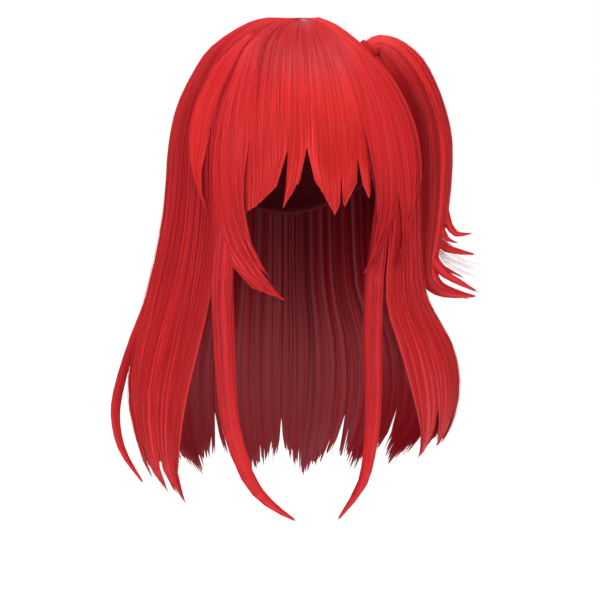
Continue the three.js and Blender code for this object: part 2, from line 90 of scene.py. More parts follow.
# %% Wires between shader nodes
class Wire:
    """An output socket in a node tree. Sums and products with numbers or other wires add Math nodes."""

    def __init__(self, tree, socket=None):
        self.tree = tree
        self.socket = socket

    def node(self, kind, settings=None, inputs=None, output=0):
        """A new node: settings by name, a ramp's stops among them, then inputs by name or number."""
        made = self.tree.nodes.new(kind)
        for name, value in (settings or {}).items():
            if name == "stops":
                ramp = made.color_ramp.elements
                while len(ramp) < len(value):
                    ramp.new(1)
                for element, (place, colour) in zip(ramp, value):
                    element.position = place
                    element.color = colour
            else:
                setattr(made, name, value)
        for name, value in (inputs or {}).items():
            if isinstance(value, Wire):
                self.tree.links.new(value.socket, made.inputs[name])
            else:
                made.inputs[name].default_value = value
        return Wire(self.tree, made.outputs[output])

    def sum(self, operation, first, second):
        """A Math node on two values."""
        return self.node("ShaderNodeMath", {"operation": operation}, {0: first, 1: second})

    def __add__(self, other):
        return self.sum("ADD", self, other)

    def __radd__(self, other):
        return self.sum("ADD", other, self)

    def __sub__(self, other):
        return self.sum("SUBTRACT", self, other)

    def __rsub__(self, other):
        return self.sum("SUBTRACT", other, self)

    def __mul__(self, other):
        return self.sum("MULTIPLY", self, other)

    def __rmul__(self, other):
        return self.sum("MULTIPLY", other, self)


def linear(code):
    """Linear colour of an sRGB one in six hex digits, channel by channel along the sRGB curve."""
    parts = [int(code[k:k + 2], 16) / 255 for k in (0, 2, 4)]
    return [p / 12.92 if p <= 0.04045 else ((p + 0.055) / 1.055) ** 2.4 for p in parts] + [1.0]


def new_finish(name):
    """An empty material, its Principled shader and a wire to build with."""
    material = bpy.data.materials.new(name)
    material.use_nodes = True
    return material, material.node_tree.nodes["Principled BSDF"], Wire(material.node_tree)


def connect(wire, shader, socket):
    """Feeds a wire into a named input of a shader."""
    wire.tree.links.new(wire.socket, shader.inputs[socket])


print("shader helpers ready")

# %% [markdown]
# ## Floor and light
#
# A product picture has a white floor that runs into white air, and soft light: a large lamp at the
# viewer's left and above, a top lamp for the crown and a weak one at the right. The floor is a wide disc
# far below the hair that glows a little, and the camera sees air as bright as the floor, so that no edge
# shows behind the wig. The hair itself gets less of the air's light, which leaves the lamps to shape it.

# %% Floor and lamps
FLOOR_Z = -0.64
FLOOR_RADIUS = 40
FLOOR_SIDES = 64

turn = np.linspace(0, 2 * np.pi, FLOOR_SIDES, endpoint=False)
floor_rim = np.stack([FLOOR_RADIUS * np.cos(turn), FLOOR_RADIUS * np.sin(turn), 0 * turn + FLOOR_Z], -1)
floor_mesh = bpy.data.meshes.new("studio_floor")
floor_mesh.from_pydata(floor_rim, [], [list(range(FLOOR_SIDES))])
studio_floor = bpy.data.objects.new("studio_floor", floor_mesh)
bpy.context.scene.collection.objects.link(studio_floor)
paper, paper_shader, _ = new_finish("white_paper")
paper_shader.inputs["Base Color"].default_value = (0.985, 0.985, 0.985, 1)
paper_shader.inputs["Roughness"].default_value = 0.9
paper_shader.inputs["Emission Color"].default_value = (1, 1, 1, 1)
paper_shader.inputs["Emission Strength"].default_value = 0.32
floor_mesh.materials.append(paper)

LAMPS = (
    {"name": "key_lamp", "place": (-1.1, -1.9, 0.75), "size": 1.0, "watts": 15},
    {"name": "top_lamp", "place": (0.0, -0.6, 1.5), "size": 0.9, "watts": 15},
    {"name": "fill_lamp", "place": (1.7, -1.3, 0.1), "size": 1.2, "watts": 1},
)
LAMP_AIM = VIEW_TARGET + Vector((0, 0, 0.08))
for row in LAMPS:
    lamp_data = bpy.data.lights.new(row["name"], "AREA")
    lamp_data.size = row["size"]
    lamp_data.energy = row["watts"]
    lamp = bpy.data.objects.new(row["name"], lamp_data)
    lamp.location = row["place"]
    aim = LAMP_AIM - lamp.location
    lamp.rotation_euler = aim.to_track_quat("-Z", "Y").to_euler()
    bpy.context.scene.collection.objects.link(lamp)

AIR_LIGHT = 0.7
world = bpy.data.worlds.new("studio_air")
world.use_nodes = True
world.node_tree.nodes["Background"].inputs["Color"].default_value = (1, 1, 1, 1)
seen = Wire(world.node_tree).node("ShaderNodeLightPath")
connect(AIR_LIGHT + seen * (1 - AIR_LIGHT), world.node_tree.nodes["Background"], "Strength")
bpy.context.scene.world = world
print("floor and", len(LAMPS), "lamps")

# %% [markdown]
# ## The finish of the fibre
#
# Dyed synthetic hair isn't one red: each fibre is a little lighter or darker than its neighbour, and
# fibres that lie together in a clump share a tone. Every strand here has a map place, across the map by
# its tone and up the map from root to tip. A slow painted highlight runs along the length, light at the
# crown and again above the tips, with painted shade between. The colour is worked out from the place
# alone, so strands that share a place also share a colour, and the finish can be kept as a small picture.

# %% Hair finish
MAP_NAME = "OFBake"
STREAKS_ACROSS = 40
STREAKS_ALONG = 2
STREAK_TONE = 0.05
STREAK_ROUGHNESS = 0.12
HAIR_ROUGHNESS = 0.34

hair_finish, hair_shader, wire = new_finish("red_fibre")
place = wire.node("ShaderNodeUVMap", {"uv_map": MAP_NAME})
tone = wire.node("ShaderNodeSeparateXYZ", None, {0: place})
along = wire.node("ShaderNodeSeparateXYZ", None, {0: place}, output=1)
streak_place = wire.node(
    "ShaderNodeCombineXYZ", None, {0: tone * STREAKS_ACROSS, 1: along * STREAKS_ALONG},
)
streak = wire.node(
    "ShaderNodeTexNoise", {"noise_dimensions": "2D"}, {"Vector": streak_place, "Scale": 1.0},
)
# Painted highlight and painted shade along the length: the ramp lightens the crown and above the tips
sheen = wire.node("ShaderNodeValToRGB", {"stops": (
    (0.00, (0.60, 0.60, 0.60, 1)),
    (0.12, (0.58, 0.58, 0.58, 1)),
    (0.40, (0.43, 0.43, 0.43, 1)),
    (0.74, (0.56, 0.56, 0.56, 1)),
    (0.92, (0.52, 0.52, 0.52, 1)),
)}, {"Fac": along})
shifted = tone + (streak - 0.5) * STREAK_TONE + (sheen - 0.5)
fibre_colour = wire.node("ShaderNodeValToRGB", {"stops": (
    (0.03, linear("3a0610")),
    (0.10, linear("6d0a19")),
    (0.35, linear("a8101e")),
    (0.60, linear("c8161e")),
    (0.85, linear("dc2423")),
    (1.00, linear("ea3a37")),
)}, {"Fac": shifted})
connect(fibre_colour, hair_shader, "Base Color")
connect(HAIR_ROUGHNESS + streak * STREAK_ROUGHNESS, hair_shader, "Roughness")
hair_shader.inputs["Specular IOR Level"].default_value = 0.33
print("hair finish ready")

# %% [markdown]
# ## Curves through a short table
#
# All the shapes below come from short tables in millimetres. A row is one level or one edge of the hair.
# The helper runs a smooth curve through the rows, so that a table of fifteen rows is enough for the whole
# outline.


# %% Smooth curve through rows
def through_rows(rows, t):
    """Catmull-Rom curve through the rows of a table, at t counted in rows, for every column at once."""
    last = len(rows) - 1
    i = np.clip(np.floor(t).astype(int), 0, last - 1)
    f = (t - i)[..., None]
    before, start, end, after = (rows[np.clip(i + k, 0, last)] for k in (-1, 0, 1, 2))
    bend = 2 * before - 5 * start + 4 * end - after
    turn = 3 * (start - end) + after - before
    return start + 0.5 * f * (end - before + f * (bend + f * turn))


def unit(vectors):
    """Vectors scaled to length one."""
    return vectors / np.maximum(np.linalg.norm(vectors, axis=-1, keepdims=True), 1e-9)


def eased(t, start, end):
    """Smooth step from 0 before start to 1 after end."""
    f = np.clip((t - start) / (end - start), 0, 1)
    return f * f * (3 - 2 * f)


# Outer surface of the hair, as in the solids: half widths to the wearer's right and left, depths to the
# front and back, how far the section is moved back and how far its front dips
SECTIONS = np.array([
    # z, right, left, front, back, shift, dip
    (4.5, 10, 10, 19, 19, -17, 5),
    (3.6, 33, 15, 26, 36, -14, 6),
    (-3, 51, 30, 40, 55, -11, 4),
    (-20, 75, 51.5, 62, 80, -6, 0),
    (-40, 89, 68, 82, 97, -2, 0),
    (-70, 103, 84, 99, 110, 0, 0),
    (-105, 110, 94, 108, 116, 0, 0),
    (-146, 113, 99, 107, 117, 0, 0),
    (-188, 120, 101, 97, 116, 0, 0),
    (-228, 130, 107, 84, 115, 0, 0),
    (-268, 140, 129, 74, 118, 0, 0),
    (-305, 144, 135, 68, 122, 0, 0),
    (-340, 138, 126, 64, 121, 0, 0),
    (-370, 127, 103, 60, 116, 0, 0),
    (-398, 104, 78, 56, 106, 0, 0),
], float)
CROWN_Z = SECTIONS[0, 0]
CAP_HALF = np.array([76, 95, 100], float)
CAP_WALL = 2
CAP_ROOM = 3.5
TIP_WALL = 1.6
RIB_DEPTH = 3

level_steps = np.linspace(1, len(SECTIONS) - 1, 1400)
height_steps = through_rows(SECTIONS[:, :1], level_steps)[:, 0]


def level_at(z):
    """Level at which the sections reach a height, read from a fine list of heights."""
    return np.interp(-z, -height_steps, level_steps)


def hair_surface(bearing, level):
    """Outer form: the oval section at a level, at a bearing in degrees from the front."""
    z, right, left, front, rear, shift, dip = np.moveaxis(through_rows(SECTIONS, level), -1, 0)
    turn = np.radians(bearing)
    half = np.where(np.sin(turn) < 0, right, left)
    depth = np.where(np.cos(turn) > 0, front, rear)
    height = z - dip * np.maximum(0, np.cos(turn)) ** 2
    return np.stack([half * np.sin(turn), shift - depth * np.cos(turn), height], -1)


def outward(points):
    """Unit direction out of the hair: away from the cap's centre above that height, level below it."""
    arm = points.copy()
    arm[..., 2] = np.maximum(points[..., 2] + CAP_HALF[2], 0)
    return unit(arm)


def room_over_cap(points):
    """Distance from the cap out to a point, along the line from the cap's centre."""
    arm = points + (0, 0, CAP_HALF[2])
    reach = np.linalg.norm(arm / (CAP_HALF + CAP_ROOM), axis=-1)
    return np.linalg.norm(arm, axis=-1) * (1 - 1 / reach)


print("hair form from", CROWN_Z, "to", SECTIONS[-1, 0], "mm")

# %% [markdown]
# ## A layer of hair
#
# A layer hangs from the crown between its edges. Each edge has four bearings, from the crown to the hem,
# and the height of the hem there. Two numbers give any place in a layer: which edge it is near, and how
# far down it is. A third gives the depth under the surface. Strands are drawn in these three numbers, and
# they bend and taper with the layer by themselves. Roots lie on the patch at the whorl, and the hair
# rises out of it, so that no dark rim shows there.

# %% Places in a layer
PARTING = np.array([0, SECTIONS[0, 5], 0])
ROOT_WALL = 0.8
ROOT_RISE = 0.6
LEAST_WALL = 1.2
LIFTED_RIB = 0.9
HELD_FROM = 0.45
BED_TOP = 0.5
BED_FLANK = 1.9
BED_ROOT = 1.4
BED_ROOT_END = 0.14
BED_WALL = 3
FLANK_THIN = 0.15
FAR_FLANK_THIN = 0.45


def bearing_at(bearings, s):
    """Bearing at a share of the height: the cubic through four bearings, spaced by thirds from 0 to 1."""
    crown, upper, lower, hem = bearings
    third, two_thirds = s - 1 / 3, s - 2 / 3
    return (
        -4.5 * crown * third * two_thirds * (s - 1)
        + 13.5 * upper * s * two_thirds * (s - 1)
        - 13.5 * lower * s * third * (s - 1)
        + 4.5 * hem * s * third * two_thirds
    )


def hanging_span(level, room, groove):
    """Top and underside of a layer in the outer form: the top is as deep as the groove, or near the
    patch, out of which it rises, so deep that only a thin wall is left."""
    rising = (room - ROOT_WALL) * (1 - eased(level, 0, ROOT_RISE))
    return -np.maximum(groove, rising), -np.maximum(room, groove + LEAST_WALL)


def lifted_span(form, share, drop, full, groove):
    """Top and underside of a layer over other hair: bedded in it near the crown, deepest at the root
    and the flanks, and loose by a smooth step of the drop, first at the edge that is free. Its flanks
    are thinner."""
    far = share if form["free"] == "first" else 1 - share
    held = eased(far, HELD_FROM, 1) * (1 - eased(drop, *form["held"]))
    loose = eased(drop, *form["loose"]) * (1 - held)
    flank = np.abs(2 * share - 1) ** 3
    bedded = BED_TOP - BED_FLANK * flank - BED_ROOT * (1 - eased(drop, 0, BED_ROOT_END))
    top = form["lift"] + full * (1 - flank * (FLANK_THIN + FAR_FLANK_THIN * far)) - groove
    return top * loose + bedded * (1 - loose), form["lift"] * loose + (bedded - BED_WALL) * (1 - loose)


def layer_place(edges, form, edge, drop, depth):
    """Point and outward direction in a layer: edge counts its rows, drop runs 0 to 1, depth 0 out to 1
    in. The layer thins to its hem by a power of the height, and one with a lift to both ends by a sine.
    Above the first level a strand lies on the patch, a share of the way to the parting."""
    row = np.arange(len(edges))
    *bearings, hem_z, rib = (np.interp(edge, row, column) for column in edges.T)
    level = form["start"] + (level_at(hem_z) - form["start"]) * drop
    on_patch = np.clip(-level, 0, 1)[..., None]
    level = np.maximum(level, 0)
    z = through_rows(SECTIONS[:, :1], level)[..., 0]
    s = (CROWN_Z - z) / (CROWN_Z - hem_z)
    points = hair_surface(bearing_at(bearings, s), level)
    points = points + (PARTING - points) * on_patch * (1, 1, 0)
    groove = RIB_DEPTH * rib * np.clip(s, 0, 1)
    if form["lift"]:
        swell = np.maximum(0, np.sin(np.pi * np.clip(drop, 0, 1) ** 1.8)) ** 0.8
        full = TIP_WALL + (form["thickness"] - TIP_WALL) * swell
        groove = np.minimum(groove * LIFTED_RIB, full - LEAST_WALL)
        high, low = lifted_span(form, edge / (len(edges) - 1), drop, full, groove)
    else:
        swell = np.maximum(0, 1 - np.clip(s, 0, 1) ** 4)
        full = TIP_WALL + (form["thickness"] - TIP_WALL) * swell
        room = np.minimum(full, room_over_cap(points))
        high, low = hanging_span(level, room, np.minimum(groove, room - LEAST_WALL))
    out = outward(points)
    height = high + (low - high) * depth
    return points + out * height[..., None], out


print("layer helper ready")

# %% [markdown]
# ## Strands as thin tubes
#
# A particle system would give real hair, but it leaves no mesh to keep. Here a strand is a tube of three
# sides with smooth normals, wider across the layer than through it, which tapers to a fine tip. All the
# strands of a piece are one array of points, and one call writes them into one mesh.

# %% Tubes and sheets
STRAND_RING = np.radians([90, 210, 330])
STRAND_FLAT = 0.7
STRAND_GIRTHS = (0.75, 1.25)
MAP_STEP = np.array([0, -0.0022, 0.0022])


def tubes(paths, up, wide, thick, tone, along, ring=STRAND_RING):
    """Closed tubes: a ring of points round each point of each path, wide across and thick along up. The
    map has the tone by path, point and ring across it, and the share of the length up it."""
    count, points = paths.shape[:2]
    sides = len(ring)
    heading = unit(np.gradient(paths, axis=1))
    side = unit(np.cross(up, heading))
    rise = np.cross(heading, side)
    shape = (
        paths[:, :, None]
        + side[:, :, None] * (wide[..., None] * np.cos(ring))[..., None]
        + rise[:, :, None] * (thick[..., None] * np.sin(ring))[..., None]
    )
    index = np.arange(count * points * sides).reshape(count, points, sides)
    ahead = np.roll(index, -1, 2)
    quads = np.stack([index[:, :-1], ahead[:, :-1], ahead[:, 1:], index[:, 1:]], -1)
    fan = np.stack([np.zeros(sides - 2, int), np.arange(1, sides - 1), np.arange(2, sides)], -1)
    start_fans = index[:, 0][:, fan[:, ::-1]].reshape(-1, 3)
    end_fans = index[:, -1][:, fan].reshape(-1, 3)
    places = np.broadcast_arrays(tone, along[..., None] + np.zeros(sides))
    return {
        "points": shape.reshape(-1, 3),
        "quads": quads.reshape(-1, 4),
        "ends": np.concatenate([start_fans, end_fans]),
        "map": np.stack(places, -1).reshape(-1, 2),
    }


def sheet(outer, inner, tone, painted_inner_shade, along):
    """Closed wall between two grids of points: both faces and a strip round the rim, facing out."""
    columns, rows = outer.shape[:2]
    index = np.arange(2 * columns * rows).reshape(2, columns, rows)
    near, far = index
    front = np.stack([near[:-1, :-1], near[1:, :-1], near[1:, 1:], near[:-1, 1:]], -1).reshape(-1, 4)
    rear = np.stack([far[:-1, :-1], far[:-1, 1:], far[1:, 1:], far[1:, :-1]], -1).reshape(-1, 4)
    rim = [index[:, :, 0], index[:, -1, :], index[:, ::-1, -1], index[:, 0, ::-1]]
    strips = [np.stack([r[0, :-1], r[1, :-1], r[1, 1:], r[0, 1:]], -1) for r in rim]
    points = np.concatenate([outer.reshape(-1, 3), inner.reshape(-1, 3)])
    quads = np.concatenate([front, rear] + strips)
    corner = points[quads]
    volume = np.sum(corner[:, 0] * np.cross(corner[:, 1], corner[:, 2]))
    volume += np.sum(corner[:, 0] * np.cross(corner[:, 2], corner[:, 3]))
    faces = [np.stack(np.broadcast_arrays(t, along), -1).reshape(-1, 2) for t in (tone, painted_inner_shade)]
    return {
        "points": points,
        "quads": quads if volume > 0 else quads[:, ::-1],
        "ends": np.zeros((0, 3), int),
        "map": np.concatenate(faces),
    }


def dressed_piece(node, kind, finish, parts):
    """One mesh from all the parts of a piece, with its map and finish, for the solid of that name."""
    offsets = np.cumsum([0] + [len(part["points"]) for part in parts])
    points = np.concatenate([part["points"] for part in parts]) * MM
    quads = np.concatenate([part["quads"] + start for part, start in zip(parts, offsets)])
    ends = np.concatenate([part["ends"] + start for part, start in zip(parts, offsets)])
    places = np.concatenate([part["map"] for part in parts])
    corners = np.concatenate([quads.ravel(), ends.ravel()])
    starts = np.concatenate([np.arange(len(quads)) * 4, len(quads) * 4 + np.arange(len(ends)) * 3])
    mesh = bpy.data.meshes.new(node + "_" + kind)
    mesh.vertices.add(len(points))
    mesh.vertices.foreach_set("co", points.astype(np.float32).ravel())
    mesh.loops.add(len(corners))
    mesh.loops.foreach_set("vertex_index", corners.astype(np.int32))
    mesh.polygons.add(len(starts))
    mesh.polygons.foreach_set("loop_start", starts.astype(np.int32))
    mesh.update(calc_edges=True)
    mesh.polygons.foreach_set("use_smooth", np.ones(len(starts), bool))
    chart = mesh.uv_layers.new(name=MAP_NAME)
    chart.data.foreach_set("uv", places[corners].astype(np.float32).ravel())
    mesh.materials.append(finish)
    piece = bpy.data.objects.new(node + "_" + kind, mesh)
    bpy.context.scene.collection.objects.link(piece)
    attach(piece, "root")
    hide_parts(node)
    print(node, "has", 2 * len(quads) + len(ends), "triangles")


def hair_piece(node, parts):
    """A piece of hair from its strands and sheets."""
    dressed_piece(node, "strands", hair_finish, parts)


print("tubes and sheets ready, a strand has", len(STRAND_RING), "sides")

# %% [markdown]
# ## Locks and bands
#
# Straight hair parts into locks, and a lock into bands a few millimetres wide that lie a little higher or
# lower and catch the light in turn. The locks could be modelled one by one, but the hem already tells
# where they part: at its high points. A band here is a sum of slow sines over the layer, so that the
# combed sheet and the strands on it can share it. The tone follows the band's height as well: raised
# bands are painted lighter and sunk ones darker, painted light and shade over the real relief.

# %% Locks and bands
BAND_SINES = 5
BAND_HEIGHT = 1.6
BAND_ROOT = (0.02, 0.3)
BAND_WIDTHS = (0.5, 1.3)
BAND_DRIFT = 0.6


def edge_spread(edges):
    """Degrees from the first edge to each edge, added up along the upper bearings."""
    return np.concatenate([[0], np.cumsum(np.abs(np.diff(edges[:, 1])))])


def lock_tips(edges):
    """Edges where locks part, and the edge of each lock's tip: high and low points of the hem."""
    z = edges[:, 4]
    row = np.arange(len(edges))
    left = np.concatenate([[z[0] - 1], z[:-1]])
    right = np.concatenate([z[1:], [z[-1] - 1]])
    high = np.unique(np.concatenate([[0], row[(z > left) & (z > right)], [row[-1]]]))
    tips = np.array([a + np.argmin(z[a:b + 1]) for a, b in zip(high[:-1], high[1:])])
    return high, tips


def widened(edges, margin):
    """Edges with the first and last moved outwards by a share of their distance to the next ones."""
    wider = edges.copy()
    wider[0, :4] += (edges[0, :4] - edges[1, :4]) * margin
    wider[-1, :4] += (edges[-1, :4] - edges[-2, :4]) * margin
    return wider


def make_bands(seed, edges, width):
    """Height of the bands over a layer, about -1 to 1: sines across the edges, width in degrees, that
    drift sideways with the drop and start from nothing at the root."""
    rng = np.random.default_rng(seed)
    spread = edge_spread(edges)
    turns = rng.uniform(*BAND_WIDTHS, BAND_SINES) / width
    drift = rng.normal(0, BAND_DRIFT, BAND_SINES)
    phase = rng.random(BAND_SINES)

    def bands(edge, drop):
        across = np.interp(edge, np.arange(len(edges)), spread)[..., None]
        sines = np.sin(2 * np.pi * (across * turns + drop[..., None] * drift + phase))
        return sines.mean(-1) * BAND_HEIGHT * eased(drop, *BAND_ROOT)

    return bands


print("locks and bands ready")

# %% [markdown]
# ## The way of a strand
#
# A strand runs down from the crown, leans to the tip of its lock and ends in a needle. Every helper here
# takes the drop of all the points of all the strands at once. A layer's form, a short list of named
# values, says how far its strands lean, where they end and which tones they have, so that one set of
# helpers grows them all.

# %% Along a strand
PAINTED_SHEEN_LEVELS = 5.5
RIB_STEP = 0.02
PAINTED_RIB_HIGHLIGHT = 0.6
LAST_STEP = 0.025
LEAN_POWER = 1.4


def form_of(thickness, points, **changes):
    """How a layer lies: its thickness in millimetres, the points of a strand, its first level and its
    lift over other hair, then how its locks lean, part and end, and the look of its bands."""
    form = {
        "thickness": thickness, "points": points, "start": 0.0, "lift": 0.0, "over_patch": 0.05,
        "lean": 0.75, "part": 0.5, "hem": 0.985, "uneven": 0.012, "gather": 0.6, "margin": 0.3,
        "wave": 0.25, "stray": 0.0, "wide": 0.26, "column": 0.5, "relief": 0.2,
        "tone": 0.6, "contrast": 0.1, "streaks": 0.07, "rib_tone": 0.0, "fade": 0.0,
        "loose": (0.3, 0.7), "held": (0.8, 0.97), "free": "first",
        "pace": ((0, 1), (0, 1)), "sheen": ((0, 1), (0, 1)),
    }
    form.update(changes)
    return form


def strand_taper(t):
    """Thickness along a strand: a finer root, full in the middle, a needle at the tip."""
    return (0.3 + 0.7 * eased(t, 0, 0.1)) * (1 - 0.92 * eased(t, 0.72, 1.0))


def slow_wave(rng, count, drop, turns, pick=slice(None)):
    """A sine along each strand with a phase of its own, or of its clump."""
    return np.sin(2 * np.pi * (drop * turns + rng.random(count)[pick][:, None]))


def drops_of(first, end, form):
    """Shares of the drop along each strand: one grid at the form's pace, so that neighbours bend at the
    same heights, with the first point and the last two moved to the strand's own start and end."""
    drop = np.interp(np.linspace(0, 1, form["points"]), *form["pace"])
    drop = np.tile(drop, (len(end), 1))
    drop[:, 0] = first
    drop[:, -2] = np.minimum(drop[:, -2], end - LAST_STEP)
    drop[:, -1] = end
    return drop


def lean_to_tip(edge, tip, drop, form):
    """Edge after leaning: a share of the way to the tip, by a smooth step over the lower drop."""
    return edge + (tip - edge) * form["lean"] * eased(drop, form["part"], 1.0) ** LEAN_POWER


def painted_sheen_share(drop, form):
    """Share of the length up the map, at the form's own placing of the painted highlight: a layer that
    starts below the crown starts at that level's share."""
    first = form["start"] / (form["start"] + PAINTED_SHEEN_LEVELS)
    return first + (1 - first) * np.interp(drop, *form["sheen"])


def painted_rib_shading(edges, edge):
    """Painted highlight and painted shadow at the lines between locks: a painted highlight on the near
    side of a rib, the edge of the lock that lies over, and a painted shadow beyond it. Both scale by a
    power of the rib."""
    row = np.arange(len(edges))
    rib = np.interp(edge, row, edges[:, 5])
    beyond = np.interp(edge + RIB_STEP, row, edges[:, 5]) < rib
    return np.where(beyond, -rib ** 1.5, PAINTED_RIB_HIGHLIGHT * rib ** 4)


print("a plain form has", len(form_of(thickness=1, points=2)), "values")

# %% [markdown]
# ## Combed sheets
#
# Strands alone would need many thousands to close a layer. On the real wig the fibres lie so close that
# they make a sheet, so every lock has a sheet of its own that narrows to the lock's tip like a blade. Its
# columns are combed: each lies a little higher or lower and has its own tone. Its underside is painted
# dark, a painted shade like that of hair in its own shadow, and takes the lock's tone at the root.

# %% Sheets of a layer
# Painted shade: the dark tone of the sheets' undersides and of the strands inside
INSIDE_PAINTED_SHADE = 0.17
SHEET_TONES = (0.05, 0.97)
PAINTED_UNDER_SHADE_RANGE = (0.04, 0.9)
SHEET_START = 0.005
SHEET_DEPTH = 0.13
SHEET_WALL = 0.3
SHEET_ROOT_WALL = 0.5
SHEET_ROOT_END = (0.01, 0.06)
SHEET_APART = 0.03
COMB_DEPTH = 0.02
COMB_ROOT = (0.02, 0.25)
PAINTED_UNDER_SHADE_SPREAD = 0.02
PAINTED_UNDER_SHADE_ROOT = (0.01, 0.08)
LEAST_COLUMNS = 8


def layer_sheets(edges, form, bands, seed):
    """Combed sheets inside a layer, one for each lock: columns spread evenly over its bearings that
    lean to its tip, deeper between the bands, with a wall that is thicker at the root."""
    rng = np.random.default_rng(seed)
    high, tips = lock_tips(edges)
    spread = edge_spread(edges)
    sheets = []
    for first, last, tip in zip(high[:-1], high[1:], tips):
        columns = max(LEAST_COLUMNS, round((spread[last] - spread[first]) / form["column"]))
        wide = np.interp(np.linspace(spread[first], spread[last], columns), spread, np.arange(len(edges)))
        ends = form["hem"] - np.abs(rng.normal(0, form["uneven"], columns))
        drop = drops_of(SHEET_START, ends, form)
        edge = lean_to_tip(wide[:, None], tip, drop, form)
        height = bands(edge, drop)
        comb = rng.normal(0, COMB_DEPTH, (columns, 1)) * eased(drop, *COMB_ROOT)
        shallow = SHEET_DEPTH + form["relief"] * (0.5 - 0.5 * height) + comb
        shallow = shallow + rng.uniform(0, SHEET_APART)
        root_wall = (0 if form["lift"] else SHEET_ROOT_WALL) * (1 - eased(drop, *SHEET_ROOT_END))
        outer, _ = layer_place(edges, form, edge, drop, shallow)
        inner, _ = layer_place(edges, form, edge, drop, shallow + SHEET_WALL + root_wall)
        # Partly painted light: tone follows the band height, raised bands lighter and sunk ones darker,
        # plus random streaks
        tone = form["tone"] + form["contrast"] * height + rng.normal(0, form["streaks"], (columns, 1))
        # Painted highlight and shadow at the ribs, and painted light and shade down the length
        tone = tone + form["rib_tone"] * painted_rib_shading(edges, edge) + form["fade"] * (drop - 0.5)
        # Painted shade: each column's underside is painted dark, and near the root takes the layer's tone
        under = rng.normal(INSIDE_PAINTED_SHADE, PAINTED_UNDER_SHADE_SPREAD, (columns, 1))
        under = under + (form["tone"] - under) * (1 - eased(drop, *PAINTED_UNDER_SHADE_ROOT))
        tones = np.clip(tone, *SHEET_TONES), np.clip(under, *PAINTED_UNDER_SHADE_RANGE)
        sheets.append(sheet(outer, inner, *tones, painted_sheen_share(drop, form)))
    return sheets


print("sheets ready, each with at least", LEAST_COLUMNS, "columns")

# %% [markdown]
# ## Strands of a layer
#
# Fine strands lie on the sheets, stand out past their edges and end unevenly, which is what makes the
# layer read as hair. Dark ones inside, painted dark as painted shade, close the view from below. Where
# a form asks for it, a few stray ones stand off the rest and come back to it, as combed hair never lies
# quite flat.

# %% Strands of a layer
INSIDE_SHARE = 0.2
INSIDE_START = 0.06
INSIDE_SHORTER = 0.03
INSIDE_DEPTHS = (0.55, 1.0)
INSIDE_PAINTED_SHADE_SPREAD = 0.03
CLUMP_SHIFT = 0.35
GATHER_SPAN = (0.6, 1.03)
OWN_TURNS = 1.3
SHARED_TURNS = 0.9
WAVE_ROOT = (0.05, 0.5)
TOP_DEPTHS = (0.02, 0.13)
STRAND_TONES = (0.05, 0.96)
STRAY_SHARE = 0.16
STRAY_SEED = 1000
STRAY_TURNS = 1.6
STRAY_ROOT = (0.1, 0.6)


def stray_lift(inside, drop, form, seed):
    """How far strands stand off the layer: a share of the outer ones, by up to the form's stray, as a
    slow cosine down the drop that starts below the crown."""
    chance, share = np.random.default_rng(seed + STRAY_SEED).random((2, len(inside)))
    stray = np.where((chance < STRAY_SHARE) & ~inside, share * form["stray"], 0)[:, None]
    wander = 0.5 - 0.5 * np.cos(2 * np.pi * (drop * STRAY_TURNS + chance[:, None] / STRAY_SHARE))
    return stray * wander * eased(drop, *STRAY_ROOT)


